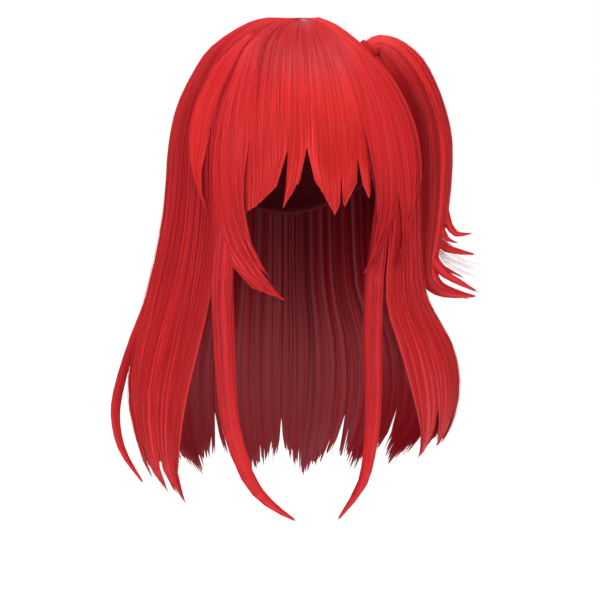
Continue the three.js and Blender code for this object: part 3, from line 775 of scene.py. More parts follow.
def grow_layer(edges, form, bands, strands, clumps, seed):
    """Strands of a layer: roots spread evenly over the bearings, then each strand leans to its lock's
    tip and gathers into its clump by a smooth step of the drop, with slow waves, its own and shared."""
    rng = np.random.default_rng(seed)
    spread = edge_spread(edges)
    row = np.arange(len(edges))
    clump_at = (np.arange(clumps) + 0.5 + rng.uniform(-CLUMP_SHIFT, CLUMP_SHIFT, clumps)) / clumps
    root_at = rng.random(strands)
    clump = np.argmin(np.abs(root_at[:, None] - clump_at[None]), axis=1)
    root = np.interp(root_at * spread[-1], spread, row)
    centre = np.interp(clump_at * spread[-1], spread, row)[clump]
    high, tips = lock_tips(edges)
    tip = tips[np.clip(np.searchsorted(high, root) - 1, 0, len(tips) - 1)]
    inside = rng.random(strands) < INSIDE_SHARE
    clump_end = 1 - np.abs(rng.normal(0, form["uneven"], clumps))[clump]
    end = clump_end - np.abs(rng.normal(0, form["uneven"], strands)) - INSIDE_SHORTER * inside
    over_patch = -form["over_patch"] * rng.random(strands)
    first = np.where(inside, INSIDE_START, over_patch) * (0 if form["lift"] else 1)
    drop = drops_of(first, end, form)
    t = (drop - first[:, None]) / (end - first)[:, None]
    gathered = root[:, None] + (centre - root)[:, None] * form["gather"] * eased(drop, *GATHER_SPAN)
    edge = np.clip(lean_to_tip(gathered, tip[:, None], drop, form), 0, len(edges) - 1)
    height = bands(edge, drop)
    on_top = form["relief"] * (0.5 - 0.5 * height) + rng.uniform(*TOP_DEPTHS, strands)[:, None]
    depth = np.where(inside[:, None], rng.uniform(*INSIDE_DEPTHS, strands)[:, None], on_top)
    paths, up = layer_place(edges, form, edge, drop, depth)
    side = unit(np.cross(up, unit(np.gradient(paths, axis=1))))
    own = rng.normal(0, form["wave"], strands)[:, None] * slow_wave(rng, strands, drop, OWN_TURNS)
    shared = rng.normal(0, form["wave"], clumps)[clump][:, None]
    shared = shared * slow_wave(rng, clumps, drop, SHARED_TURNS, clump)
    paths = paths + side * ((own + shared) * eased(drop, *WAVE_ROOT))[..., None]
    paths = paths + up * stray_lift(inside, drop, form, seed)[..., None]
    girth = rng.uniform(*STRAND_GIRTHS, strands)[:, None] * strand_taper(t)
    middle = form["points"] // 2
    # Partly painted light: tone follows the band height, raised bands lighter and sunk ones darker, plus
    # random streaks
    tone = form["tone"] + form["contrast"] * height[:, middle] + rng.normal(0, form["streaks"], strands)
    # Painted highlight and shadow at the ribs
    tone = tone + form["rib_tone"] * painted_rib_shading(edges, edge[:, middle])
    # Painted shade: the strands inside are painted dark
    tone = np.where(inside, rng.normal(INSIDE_PAINTED_SHADE, INSIDE_PAINTED_SHADE_SPREAD, strands), tone)
    # Painted light and shade down the length: lighter or darker towards the hem by the form's slope
    tone = np.clip(tone[:, None] + form["fade"] * (drop - 0.5), *STRAND_TONES)[..., None] + MAP_STEP
    wide = girth * form["wide"]
    return tubes(paths, up, wide, wide * STRAND_FLAT, tone, painted_sheen_share(drop, form))


def layer_piece(node, edges, form, strands, clumps, seed, band_width, extra=()):
    """A piece of hair made of one layer, with any free locks that belong to it."""
    edges = widened(edges, form["margin"])
    bands = make_bands(seed, edges, band_width)
    parts = layer_sheets(edges, form, bands, seed + 1)
    parts.append(grow_layer(edges, form, bands, strands, clumps, seed + 2))
    hair_piece(node, parts + list(extra))


print("strands of a layer ready")

# %% [markdown]
# ## The fringe
#
# The fringe falls over the forehead in pointed locks. They could be cut from one sheet as equal points,
# but the two long notches near the middle, the broad point beside them and the swept edge at the viewer's
# left are what one recognises. So its edges have the most rows, and its painted highlight band has its
# own placing.

# %% Fringe
FRINGE_EDGES = np.array([
    # crown, upper, lower, hem, z, rib
    (-38, -36.5, -34.5, -33, -148, 0),
    (-34, -32, -30, -28.5, -154, 0),
    (-27, -25.5, -24.5, -24, -147.5, 0),
    (-19, -18.5, -18, -17.5, -134.5, 0.5),
    (-14, -13.5, -13, -13, -123, 1),
    (-11.5, -11, -11.2, -14.5, -152, 0),
    (-9, -8.3, -8.2, -9.5, -135, 0.4),
    (-5.5, -5, -5, -5, -121, 1),
    (-2, -1.5, -0.8, 0.5, -136, 0.3),
    (4, 4.5, 5.3, 7.8, -157, 0),
    (10, 10.6, 11, 11.2, -145, 0.7),
    (14, 14.3, 14.2, 12.4, -151, 0),
    (17, 17.4, 17.6, 17.5, -135, 0.4),
    (20, 20.4, 20.5, 20.5, -129, 1),
    (24, 24, 24.3, 25.3, -144, 0),
    (27, 27, 27, 27.2, -135, 1),
    (35, 34, 32.5, 31, -148, 0),
], float)
fringe_form = form_of(
    thickness=7, points=15, part=0.92, lean=0.3, gather=0.25, hem=1.0, uneven=0.003, wave=0.08, wide=0.19,
    # fade: the fringe is painted lighter towards its points, as painted light
    column=0.36, relief=0.08, contrast=0.035, streaks=0.03, tone=0.62, fade=0.5, margin=0.6,
    # sheen places the fringe's painted highlight band at its own heights
    over_patch=0.07, sheen=((0, 0.15, 0.5, 0.7, 0.85, 1), (0, 0.12, 0.4, 0.74, 0.85, 1)),
)
layer_piece("fringe", FRINGE_EDGES, fringe_form, strands=1850, clumps=60, seed=10, band_width=3.5)

# %% [markdown]
# ## Free locks
#
# A wisp, a sidelock or a ponytail hangs clear of the layers. It could be a curve with a bevel, but its
# section changes from root to tip. So it is a lens carried along a curve through a short table, which
# gives the middle, the half width and the half thickness. A combed core fills the lens, and strands lie
# over the core.

# %% Free locks
CLUMP_TURNS = np.array([2, 5, 9, 14])
CLUMP_HEIGHT = 1.8
PAINTED_ROOT_LIGHT_END = (0.1, 0.5)
LOCK_REACH = (0.97, 1.01)
LOCK_GATHER = 0.05
LOCK_TURNS = 1.2
SWAY_ROOT = (0.05, 0.4)
LOCK_STREAKS = 0.07
CORE_STREAKS = 0.05
CORE_SIZE = 0.96
CORE_SPAN = (0.005, 0.985)


def lock_place(rows, share, flat_to, across, up):
    """Place in a free lock: the curve through its rows at a share of its length, moved by two parts of
    its half sizes, across the lock and up out of it, where up is as near to flat_to as it can be."""
    at = through_rows(rows, share * (len(rows) - 1))
    centre, half_across, half_thick = at[..., :3], at[..., 3], at[..., 4]
    heading = unit(np.gradient(centre, axis=1))
    if flat_to is None:
        out = outward(centre)
    else:
        out = np.broadcast_to(np.array(flat_to, float), centre.shape)
    side = unit(np.cross(heading, out))
    rise = unit(np.cross(side, heading))
    place = centre + side * (across * half_across)[..., None] + rise * (up * half_thick)[..., None]
    return place, rise


def clump_tone(turn, seed, contrast):
    """Tone round the section of a free lock: a sum of slow and quick sines with phases by the seed."""
    phase = np.random.default_rng(seed).random(len(CLUMP_TURNS)) * 2 * np.pi
    return contrast * np.sin(np.multiply.outer(turn, CLUMP_TURNS) + phase).mean(-1) * CLUMP_HEIGHT


def grow_lock(
    rows, strands, seed, points=17, flat_to=None, uneven=0.02, wide=0.26, tone=0.58, painted_root_light=0.0, swing=0.06,
    contrast=0.12,
):
    """Strands of a free lock: spread over its lens section, with a slow wave, drawn together at the
    tip. The painted root light is a lighter tone near the root: painted light, as on a lock's lit top."""
    rng = np.random.default_rng(seed)
    t = np.linspace(0, 1, points)[None]
    turn = rng.random(strands) * 2 * np.pi
    reach = rng.uniform(*LOCK_REACH, strands)
    end = 1 - np.abs(rng.normal(0, uneven, strands))
    share = end[:, None] * t
    draw = reach[:, None] * (1 - LOCK_GATHER * eased(share, 0.5, 1))
    sway = rng.normal(0, swing, strands)[:, None] * slow_wave(rng, strands, share, LOCK_TURNS)
    across = np.cos(turn)[:, None] * draw + sway * eased(share, *SWAY_ROOT)
    up = np.sin(turn)[:, None] * draw
    paths, rise = lock_place(rows, share, flat_to, across, up)
    girth = rng.uniform(*STRAND_GIRTHS, strands)[:, None] * strand_taper(t)
    shade = tone + clump_tone(turn, seed, contrast) + rng.normal(0, LOCK_STREAKS, strands)
    # Painted light: lighter near the root by painted_root_light
    shade = shade[:, None] + painted_root_light * (1 - eased(share, *PAINTED_ROOT_LIGHT_END))
    shade = np.clip(shade, *STRAND_TONES)[..., None] + MAP_STEP
    return tubes(paths, rise, girth * wide, girth * wide * STRAND_FLAT, shade, share)


def lock_core(rows, seed, flat_to=None, sides=48, steps=30, tone=0.55, painted_root_light=0.0, contrast=0.12):
    """Combed solid inside a free lock: its lens at a part of its size, each side of its own tone."""
    rng = np.random.default_rng(seed)
    share = np.linspace(*CORE_SPAN, steps)[None]
    at = through_rows(rows, share * (len(rows) - 1))
    middle = np.zeros(share.shape)
    paths, rise = lock_place(rows, share, flat_to, middle, middle)
    ring = np.linspace(0, 2 * np.pi, sides, endpoint=False)
    shade = tone + clump_tone(ring, seed, contrast) + rng.normal(0, CORE_STREAKS, sides)
    # Painted light: lighter near the root by painted_root_light
    shade = np.clip(shade + painted_root_light * (1 - eased(share, *PAINTED_ROOT_LIGHT_END))[..., None], *STRAND_TONES)
    return tubes(paths, rise, CORE_SIZE * at[..., 3], CORE_SIZE * at[..., 4], shade, share, ring)


print("free locks ready, their cores at", CORE_SIZE, "of the lens")

# %% [markdown]
# ## Side curtains
#
# The long hair at each side hangs straight, swells and turns in at the ends. The left curtain bends most
# in its lower half, so its strands have more of their points there. On the wearer's right one thin wisp
# leaves the curtain and bows outwards, so that piece has a free lock of its own as well.

# %% Side curtains
SIDE_RIGHT_EDGES = np.array([
    # crown, upper, lower, hem, z, rib
    (-39.5, -44.5, -43, -62, -386, 0),
    (-48, -53, -49, -67, -398, 0),
    (-56, -59, -58, -72, -384, 1),
    (-65, -67, -67, -77, -391, 0),
    (-74, -76, -76, -83, -370, 1),
    (-84, -86, -87, -90, -382, 0),
    (-93, -95, -96, -97, -360, 1),
    (-102, -103, -104, -105, -378, 0),
    (-111, -112, -112, -112, -362, 0.6),
], float)
SIDE_LEFT_EDGES = np.array([
    # crown, upper, lower, hem, z, rib
    (36.5, 46, 38, 54, -350, 0),
    (46, 52, 44, 59, -366, 0),
    (54, 58, 53, 63, -346, 1),
    (63, 65, 64, 71, -358, 0),
    (73, 75, 75, 79, -340, 1),
    (84, 85, 86, 88, -356, 0),
    (93, 94, 95, 96, -342, 1),
    (102, 103, 104, 104, -366, 0),
    (111, 112, 112, 112, -352, 0.6),
], float)
OUTER_WISP = np.array([
    # x, y, z, across, thick
    (-116, 4, -196, 4, 1.6),
    (-125, 4, -226, 5.5, 2.6),
    (-140, 4, -266, 6, 3.4),
    (-151.5, 3, -306, 5, 4),
    (-153, 2, -330, 4.4, 3.6),
    (-147, 0, -354, 3.4, 2.8),
    (-131, -3, -379, 0.8, 0.7),
], float)

curtain_form = form_of(
    thickness=10, points=26, part=0.9, lean=0.5, uneven=0.014, wave=0.3, wide=0.23, column=0.5,
    relief=0.13, contrast=0.1, streaks=0.065, tone=0.56, margin=0.3, stray=2.6,
    pace=((0, 0.15, 0.6, 1), (0, 0.12, 0.5, 1)),
)
wisp_parts = [lock_core(OUTER_WISP, seed=22), grow_lock(OUTER_WISP, strands=120, seed=22)]
layer_piece(
    "side_hair_right", SIDE_RIGHT_EDGES, curtain_form, strands=840, clumps=34, seed=24, band_width=5,
    extra=wisp_parts,
)
# The left curtain is painted darker towards its hem: painted shade
left_form = dict(
    curtain_form, tone=0.65, fade=-0.25, points=30, pace=((0, 0.14, 0.5, 1), (0, 0.12, 0.5, 1)),
)
layer_piece("side_hair_left", SIDE_LEFT_EDGES, left_form, strands=720, clumps=32, seed=30, band_width=5)

# %% [markdown]
# ## Back hair
#
# The back falls straight from the crown and is as long as the curtains. The picture doesn't show it, so
# it is plain: the same strands, in broader locks with a gently uneven hem.

# %% Back hair
BACK_EDGES = np.array([
    # crown, upper, lower, hem, z, rib
    (114.2, 113, 113, 113, -364, 0.6),
    (120, 120, 120, 121, -382, 0),
    (130, 130, 131, 131, -366, 1),
    (142, 142, 142, 141, -390, 0),
    (154, 154, 154, 154, -374, 1),
    (166, 166, 167, 168, -396, 0),
    (180, 180, 180, 180, -378, 1),
    (194, 194, 193, 192, -392, 0),
    (206, 206, 206, 206, -370, 1),
    (218, 218, 218, 219, -390, 0),
    (230, 230, 229, 229, -372, 1),
    (240, 240, 240, 239, -384, 0),
    (245.8, 247, 247, 247, -364, 0.6),
], float)
back_form = dict(curtain_form, tone=0.52, lean=0.2, uneven=0.02)
layer_piece("back_hair", BACK_EDGES, back_form, strands=690, clumps=44, seed=40, band_width=6)

# %% [markdown]
# ## Locks that frame the face
#
# Four locks lie over the fringe and the curtains. Two sweep in from the sides to points below the fringe,
# and two at the temples bow out from the crown and come back in. They could hang free like the wisp, but
# near the crown they are combed into the hair under them. A form with a lift gives that: thin and bedded
# at first, then loose, and pointed at the end.

# %% Face and temple locks
OVER_LOCKS = {
    "face_lock_right": [
        # crown, upper, lower, hem, z, rib
        (-33, -31, -30.5, -29, -163, 0),
        (-36, -33.8, -32.6, -16.5, -207, 0),
        (-38.5, -37, -34.5, -27.5, -188, 0.6),
        (-41, -40.5, -37.5, -9.6, -226, 0),
        (-43, -45, -46, -27.5, -206, 0),
    ],
    "face_lock_left": [
        (31, 29.5, 28.5, 29, -163, 0),
        (36, 36, 34.5, 21.6, -205, 0),
        (42, 44.5, 44, 33, -184, 0),
    ],
    "temple_lock_right": [
        (-45.6, -48.5, -52, -46, -148, 0),
        (-48.6, -53, -55.8, -46, -157, 0),
        (-50.6, -55.6, -58, -47.4, -150, 0),
    ],
    "temple_lock_left": [
        (43, 45, 46, 41, -176, 0),
        (47.5, 53, 56, 40.5, -204, 0),
        (50, 57.5, 62.5, 46, -154, 1),
        (52.5, 61.5, 68, 48, -164, 0),
        (55, 65, 73, 51, -152, 0),
    ],
}
over_form = form_of(
    thickness=6, points=15, start=2.2, lift=1.15, part=0.66, lean=0.85, gather=0.4, hem=1.0, uneven=0.005,
    wave=0.1, wide=0.19, column=0.36, relief=0.13, contrast=0.08, streaks=0.045, tone=0.66, margin=0.35,
    # painted highlight and shadow at the ribs of the locks
    rib_tone=0.25,
)
# fade paints the face locks and the left temple lock darker towards the hem: painted shade
OVER_LOCK_WAYS = {
    "face_lock_right": {
        "loose": (0.6, 0.88), "free": "first", "lean": 0.45, "part": 0.84, "held": (0.96, 1),
        "fade": -0.15,
    },
    "face_lock_left": {"loose": (0.6, 0.88), "free": "first", "lean": 0.6, "part": 0.8, "fade": -0.25},
    "temple_lock_right": {"loose": (0.15, 0.38), "free": "last", "tone": 0.7},
    "temple_lock_left": {"loose": (0.15, 0.4), "free": "last", "tone": 0.65, "fade": -0.26},
}
for seed, (node, rows) in enumerate(OVER_LOCKS.items(), start=50):
    form = dict(over_form, **OVER_LOCK_WAYS[node])
    layer_piece(node, np.array(rows, float), form, strands=330, clumps=9, seed=3 * seed, band_width=4)

# %% [markdown]
# ## Sidelocks
#
# Two thin locks hang free in front of the curtains, flat as ribbons, and curl in at the tips. They are
# free locks, each with a direction that its flat side faces, so that it doesn't twist on the way down.

# %% Sidelocks
SIDELOCKS = {
    "sidelock_right": {"flat_to": (-0.45, -0.89, 0.1), "rows": [
        # x, y, z, across, thick
        (-54, -67, -66, 3, 2),
        (-62, -79, -96, 5, 2.8),
        (-69, -78, -148, 6.6, 3),
        (-73, -73, -209, 8.2, 3.2),
        (-72, -75, -252, 8, 3.2),
        (-70, -76, -293, 7.6, 3),
        (-66, -77, -329, 7, 2.8),
        (-53, -80, -367, 5.4, 2.4),
        (-37, -84, -387, 3.6, 1.8),
        (-16, -88, -401, 0.8, 0.7),
    ]},
    "sidelock_left": {"flat_to": (0.4, -0.91, 0.1), "rows": [
        (48.2, -71.1, -63.4, 3, 2),
        (54, -79, -96, 5, 2.6),
        (56, -79, -148, 6.6, 3),
        (50, -74, -211, 8.2, 3.2),
        (48.5, -76, -252, 8.2, 3.2),
        (49, -77, -288, 7.4, 3),
        (48.5, -77, -322, 6.8, 2.8),
        (45, -79, -351, 5.6, 2.4),
        (38, -82, -375, 4, 2),
        (18, -89, -401, 0.8, 0.7),
    ]},
}
for seed, (node, lock) in enumerate(SIDELOCKS.items(), start=61):
    rows = np.array(lock["rows"], float)
    hair_piece(node, [
        lock_core(rows, seed, lock["flat_to"]),
        grow_lock(rows, strands=260, seed=seed, points=19, flat_to=lock["flat_to"], wide=0.24),
    ])

# %% [markdown]
# ## Ponytail
#
# The ponytail rises from its band, arches over and falls at the side, and its ends flick outwards. The
# bundle and each flick are free locks, and so is the crease under the arch, painted dark as painted
# shade.
# A flick's own table starts with the bundle's upper rows, so that its strands run with the others down
# from the band before they turn out. Fine flicks of a few strands lie between the large ones.

# %% Ponytail
PONYTAIL = np.array([
    # x, y, z, across, thick
    (55.9, 9.2, -24.3, 7, 7),
    (62.4, 9.3, -18.8, 7.2, 7.2),
    (69, 9.2, -17.2, 8.4, 9),
    (78.5, 8.5, -23, 12.5, 12),
    (89.5, 7, -36.5, 16.5, 15),
    (99.5, 6, -54, 16.6, 16),
    (107.5, 4, -76.5, 16.6, 17),
    (111, 2, -101, 17.4, 17),
    (111.2, 0, -139, 15.4, 16),
    (109.4, -1, -172, 12, 13),
    (107.6, -1, -197, 7.4, 8.5),
    (108.8, -2, -211, 8, 6.6),
    (116.5, -2, -220, 6.4, 4.6),
    (131, -2, -224.6, 4, 3),
    (148.5, -2, -227, 0.7, 0.8),
], float)
PONYTAIL_CREASE = np.array([
    # x, y, z, across, thick
    (59, 9, -26, 4.5, 6),
    (67, 9, -32, 5, 8),
    (76, 8.5, -45, 4.5, 10),
    (83, 8, -59, 3.5, 8),
    (89, 6, -76, 1, 2),
], float)
FLICKS = np.array([
    # x, y, bend x, bend z, turn x, turn z, tip x, tip y, tip z, size
    (119, -5, 121.5, -158, 129, -174, 144, -8, -174, 0.7),
    (115, -9, 116, -162, 121, -177.5, 131, -12, -182, 0.55),
    (113.5, 5, 112.5, -168, 123, -186, 150.3, 4, -192.4, 1.1),
    (110.5, 8, 109.5, -178, 117.5, -199, 141, 10, -212, 0.6),
    (108, -6, 108.5, -186, 119.5, -206.5, 149.5, -10, -223.5, 1.1),
    (106.5, 5, 106.5, -191, 115.5, -216, 144.5, 6, -229.5, 1.1),
], float)
FLICK_HALVES = np.array([(5.5, 4), (5.2, 3), (3.4, 2), (0.5, 0.5)])
FLICK_LEAVES_Z = -136
FLICK_PART = 0.6
SHARED_ROWS = 8
FINE_FLICKS = 16
FINE_SEED = 90
FINE_SIZES = (0.3, 0.6)
FINE_SPREAD = 2.0
LOWER_FLICKS = 2
TOWARDS_FRONT = (0, -1, 0)


def flick_rows(flick):
    """Rows of a flick: the bundle's upper rows at part size, on its side, then its bend, turn and tip."""
    x, y, bend_x, bend_z, turn_x, turn_z, tip_x, tip_y, tip_z, size = flick
    upper = PONYTAIL[:SHARED_ROWS].copy()
    upper[:, 1] += y * np.linspace(0.1, 0.7, SHARED_ROWS)
    upper[:, 3:] *= FLICK_PART
    middles = np.array([
        (x, y, FLICK_LEAVES_Z),
        (bend_x, y, bend_z),
        (turn_x, (y + tip_y) / 2, turn_z),
        (tip_x, tip_y, tip_z),
    ], float)
    return np.concatenate([upper, np.concatenate([middles, FLICK_HALVES * size], axis=1)])


# painted_root_light paints the bundle and the flicks lighter near the band, the top of the arch: painted
# light
ponytail_parts = [
    lock_core(PONYTAIL, 70, TOWARDS_FRONT, sides=80, steps=52, tone=0.56, painted_root_light=0.34, contrast=0.3),
    grow_lock(
        PONYTAIL, strands=400, seed=70, points=31, flat_to=TOWARDS_FRONT, uneven=0.03, tone=0.6,
        painted_root_light=0.32, swing=0.02, contrast=0.3,
    ),
    # Painted shade: the crease lock is painted darker than the bundle
    lock_core(PONYTAIL_CREASE, 69, TOWARDS_FRONT, tone=0.42),
    grow_lock(PONYTAIL_CREASE, strands=60, seed=69, flat_to=TOWARDS_FRONT, tone=0.44),
]
for seed, flick in enumerate(FLICKS, start=72):
    rows = flick_rows(flick)
    ponytail_parts.append(lock_core(rows, seed, TOWARDS_FRONT, sides=32, painted_root_light=0.3))
    ponytail_parts.append(
        grow_lock(rows, strands=76, seed=seed, flat_to=TOWARDS_FRONT, wide=0.22, painted_root_light=0.3),
    )
fine_rng = np.random.default_rng(80)
for seed in range(FINE_SEED, FINE_SEED + FINE_FLICKS):
    first = FLICKS[fine_rng.integers(0, len(FLICKS))]
    second = FLICKS[fine_rng.integers(LOWER_FLICKS, len(FLICKS))]
    flick = first + (second - first) * fine_rng.uniform(0.1, 0.9)
    flick[6:9] += fine_rng.normal(0, FINE_SPREAD, 3)
    flick[9] = fine_rng.uniform(*FINE_SIZES)
    ponytail_parts.append(grow_lock(flick_rows(flick), strands=6, seed=seed, flat_to=TOWARDS_FRONT))
hair_piece("ponytail", ponytail_parts)

# %% [markdown]
# ## Cloth and elastic
#
# The three pieces that aren't hair are woven. Threads too fine to model could be a picture of a weave,
# but a pattern worked out by nodes keeps its scale from any distance. One value drives both the colour,
# between a dark and a light thread, and the height in the normal.

# %% Woven finish
OBJECT_OUTPUT = 3


def weave_over(wire, scale):
    """Fine noise over a piece, by its place in metres: the holes and threads of a cloth."""
    where = wire.node("ShaderNodeTexCoord", output=OBJECT_OUTPUT)
    return wire.node("ShaderNodeTexNoise", None, {"Vector": where, "Scale": scale, "Detail": 1.0})


def dress(shader, pattern, stops, bump, roughness, specular):
    """Sets a finish by one pattern: the colour between its stops, the normal by a bump of its height."""
    colour = pattern.node("ShaderNodeValToRGB", {"stops": stops}, {"Fac": pattern})
    connect(colour, shader, "Base Color")
    strength, height = bump
    normal = pattern.node("ShaderNodeBump", None, {
        "Strength": strength, "Distance": height, "Height": pattern,
    })
    connect(normal, shader, "Normal")
    shader.inputs["Roughness"].default_value = roughness
    shader.inputs["Specular IOR Level"].default_value = specular


net_finish, net_shader, wire = new_finish("wine_net")
net_stops = (0.30, linear("4a0e16")), (0.70, linear("821c26"))
dress(net_shader, weave_over(wire, 900.0), net_stops, (0.3, 0.0003), roughness=0.85, specular=0.2)

scalp_finish, scalp_shader, wire = new_finish("pale_scalp_cloth")
scalp_stops = (0.30, linear("b4585e")), (0.70, linear("cc7278"))
dress(scalp_shader, weave_over(wire, 1500.0), scalp_stops, (0.2, 0.0002), roughness=0.9, specular=0.05)
print("woven finishes:", net_finish.name, "and", scalp_finish.name)

# %% [markdown]
# ## Net cap
#
# The cap is stretch net with rows of hair sewn on, and an elastic band round the rim. Only its inside
# shows, under the fringe. It is an ellipsoid with a wall: the sewn rows are low ridges inside and out,
# and the rim rises over the forehead and drops to the nape by a power of the cosine of the bearing.

# %% Cap
CAP_COLUMNS = 128
CAP_ROWS = 50
RIM_FRONT_Z = -58
RIM_EAR_Z = -112
RIM_NAPE_Z = -158
RIM_POWER = 1.2
RIM_BAND = 7.0
RIM_BAND_HEIGHT = 0.45
WEFT_PITCH = 9.0
WEFT_HEIGHT = 0.35
WEFT_START = (20, 30)
NET_INSET = 0.4


def cap_point(bearing, from_top, grown):
    """Point of the cap's ellipsoid grown by a distance, at a bearing and an angle from the top."""
    half = CAP_HALF + grown[..., None]
    way = np.stack([
        np.sin(from_top) * np.sin(bearing), -np.sin(from_top) * np.cos(bearing), np.cos(from_top),
    ], -1)
    return half * way - (0, 0, CAP_HALF[2])


def shell(outer, inner, place):
    """Closed wall of two domes, each a grid of columns round an axis with its first row drawn to a
    pole. The rows of one pole become one point, and a strip joins the two rims."""
    columns, rows = outer.shape[:2]
    index = 2 + np.arange(2 * columns * (rows - 1)).reshape(2, columns, rows - 1)
    ahead = np.roll(index, -1, 1)
    quads = np.stack([index[:, :, :-1], index[:, :, 1:], ahead[:, :, 1:], ahead[:, :, :-1]], -1)
    rim = np.stack([index[0, :, -1], index[1, :, -1], ahead[1, :, -1], ahead[0, :, -1]], -1)
    fans = [np.stack([np.full(columns, k), index[k, :, 0], ahead[k, :, 0]], -1) for k in (0, 1)]
    poles = [grid[:1, 0] for grid in (outer, inner, place, place)]
    rings = [grid[:, 1:].reshape(-1, grid.shape[-1]) for grid in (outer, inner, place, place)]
    return {
        "points": np.concatenate(poles[:2] + rings[:2]),
        "quads": np.concatenate([quads[0].reshape(-1, 4), quads[1].reshape(-1, 4)[:, ::-1], rim]),
        "ends": np.concatenate([fans[0], fans[1][:, ::-1]]),
        "map": np.concatenate(poles[2:] + rings[2:]),
    }


bearing = np.linspace(0, 2 * np.pi, CAP_COLUMNS, endpoint=False)[:, None]
rise = (RIM_FRONT_Z - RIM_EAR_Z) * np.maximum(0, np.cos(bearing)) ** RIM_POWER
fall = (RIM_NAPE_Z - RIM_EAR_Z) * np.maximum(0, -np.cos(bearing)) ** RIM_POWER
rim_angle = np.arccos((RIM_EAR_Z + rise + fall) / CAP_HALF[2] + 1)
from_top = rim_angle * np.linspace(0, 1, CAP_ROWS)[None]
arc = from_top * CAP_HALF.mean()
band_start = rim_angle * CAP_HALF.mean() - RIM_BAND
weft = WEFT_HEIGHT * np.maximum(0, np.cos(2 * np.pi * arc / WEFT_PITCH)) ** 6 * eased(arc, *WEFT_START)
band = RIM_BAND_HEIGHT * eased(arc, band_start, band_start + 1)
relief = np.maximum(weft, band)
cap_outer = cap_point(bearing + 0 * from_top, from_top, CAP_WALL - NET_INSET + relief)
cap_inner = cap_point(bearing + 0 * from_top, from_top, NET_INSET - relief)
cap_place = np.stack(np.broadcast_arrays(bearing / (2 * np.pi), from_top / np.pi), -1)
dressed_piece("wig_cap", "net", net_finish, [shell(cap_outer, cap_inner, cap_place)])

# %% [markdown]
# ## Parting patch
#
# At the whorl a small oval of pale cloth stands in for the scalp. It lies on the cap with its rim under
# the hair, and strands start on it, so that only its middle shows. It could be flat, but then its ends
# would stand off the cap, so its height follows the cap's ellipsoid.

# %% Patch
PATCH_HALF = (10.6, 19.7)
PATCH_Y = -17
PATCH_BASE = 2.4
PATCH_WALL = 1.2
PATCH_ROUNDING = 0.1
PATCH_COLUMNS = 64
PATCH_ROWS = 10
PATCH_MAP = 0.4


def on_cap(flat, grown):
    """Points over the cap: its ellipsoid's height, grown by a distance, above places on the level."""
    half = CAP_HALF + np.max(grown)
    height = half[2] * np.sqrt(1 - (flat[..., 0] / half[0]) ** 2 - (flat[..., 1] / half[1]) ** 2)
    return np.concatenate([flat, (height - CAP_HALF[2] + grown - np.max(grown))[..., None]], -1)


turn = np.linspace(0, 2 * np.pi, PATCH_COLUMNS, endpoint=False)[:, None]
reach = np.linspace(0, 1, PATCH_ROWS)[None]
flat = np.stack([
    PATCH_HALF[0] * np.sin(turn) * reach, PATCH_Y - PATCH_HALF[1] * np.cos(turn) * reach,
], -1)
rounded = PATCH_BASE + PATCH_WALL - PATCH_ROUNDING * eased(reach + 0 * turn, 0.75, 1.0)
patch_outer = on_cap(flat, rounded)
patch_inner = on_cap(flat, PATCH_BASE + 0 * rounded)
patch_place = np.stack([
    0.5 + PATCH_MAP * np.sin(turn) * reach, 0.5 + PATCH_MAP * np.cos(turn) * reach,
], -1)
patch_parts = [shell(patch_outer, patch_inner, patch_place)]
dressed_piece("parting_patch", "cloth", scalp_finish, patch_parts)

# %% [markdown]
# ## Ponytail band
#
# An elastic band is wound a few times round the root of the ponytail. It could be one plain tube, but
# each turn here is a ring with a round section, and the turns lie side by side, so the band is ribbed
# like the real one. Its threads slant over each ring, as a sine of both directions of the map.

# %% Band
TIE_RADIUS = 8.85
TIE_SECTION = 0.95
TIE_LENGTH = 5.0
TIE_TURNS = 4
TIE_START = 1.6
TIE_AROUND = 72
TIE_SIDES = 14
TIE_THREADS = 60
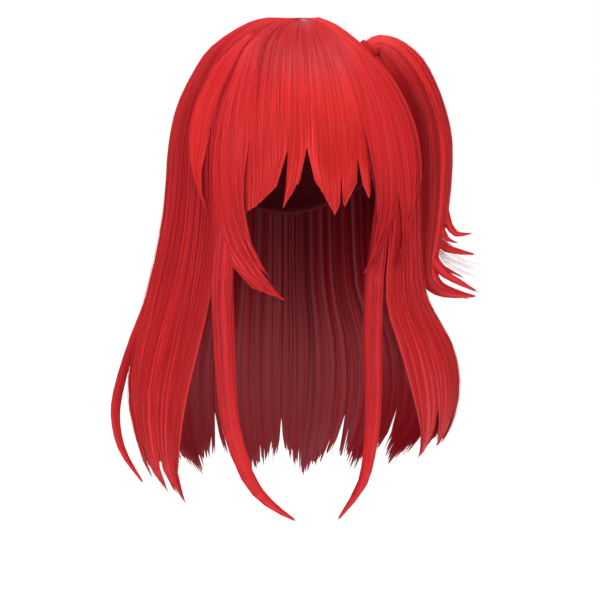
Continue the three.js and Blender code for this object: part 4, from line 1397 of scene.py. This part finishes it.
# A little more than one turn in radians, so that the map stays between 0 and 1
MAP_TURN = 7

tie_finish, tie_shader, wire = new_finish("red_elastic")
place = wire.node("ShaderNodeUVMap", {"uv_map": MAP_NAME})
slant = wire.node("ShaderNodeSeparateXYZ", None, {0: place}) * TIE_THREADS
slant = slant + wire.node("ShaderNodeSeparateXYZ", None, {0: place}, output=1) * (2 * TIE_TURNS)
thread = 0.5 + 0.5 * wire.node("ShaderNodeMath", {"operation": "SINE"}, {0: slant * (2 * math.pi)})
tie_stops = (0.10, linear("a0121c")), (0.90, linear("cc1c22"))
dress(tie_shader, thread, tie_stops, (0.3, 0.0002), roughness=0.7, specular=0.2)

root = PONYTAIL[0, :3]
tie_axis = unit(PONYTAIL[1, :3] - root)
tie_side = unit(np.cross(tie_axis, (0, 1, 0)))
tie_up = np.cross(tie_axis, tie_side)
around = np.linspace(0, 2 * np.pi, TIE_AROUND, endpoint=False)[:, None, None]
section = np.linspace(0, 2 * np.pi, TIE_SIDES, endpoint=False)[None, :, None]
ring_out = np.cos(around) * tie_side + np.sin(around) * tie_up
index = np.arange(TIE_AROUND * TIE_SIDES).reshape(TIE_AROUND, TIE_SIDES)
far, next_row = np.roll(index, -1, 0), np.roll(index, -1, 1)
quads = np.stack([index, far, np.roll(far, -1, 1), next_row], -1).reshape(-1, 4)
tie_parts = []
for k in range(TIE_TURNS):
    middle = TIE_START + TIE_SECTION + (TIE_LENGTH - 2 * TIE_SECTION) * k / (TIE_TURNS - 1)
    points = root + tie_axis * middle + ring_out * (TIE_RADIUS + TIE_SECTION * np.cos(section))
    points = points + tie_axis * (TIE_SECTION * np.sin(section))
    across, along = around[..., 0] / MAP_TURN, (section[..., 0] / MAP_TURN + k) / TIE_TURNS
    tie_parts.append({
        "points": points.reshape(-1, 3),
        "quads": quads,
        "ends": np.zeros((0, 3), int),
        "map": np.stack(np.broadcast_arrays(across, along), -1).reshape(-1, 2),
    })
dressed_piece("ponytail_tie", "elastic", tie_finish, tie_parts)
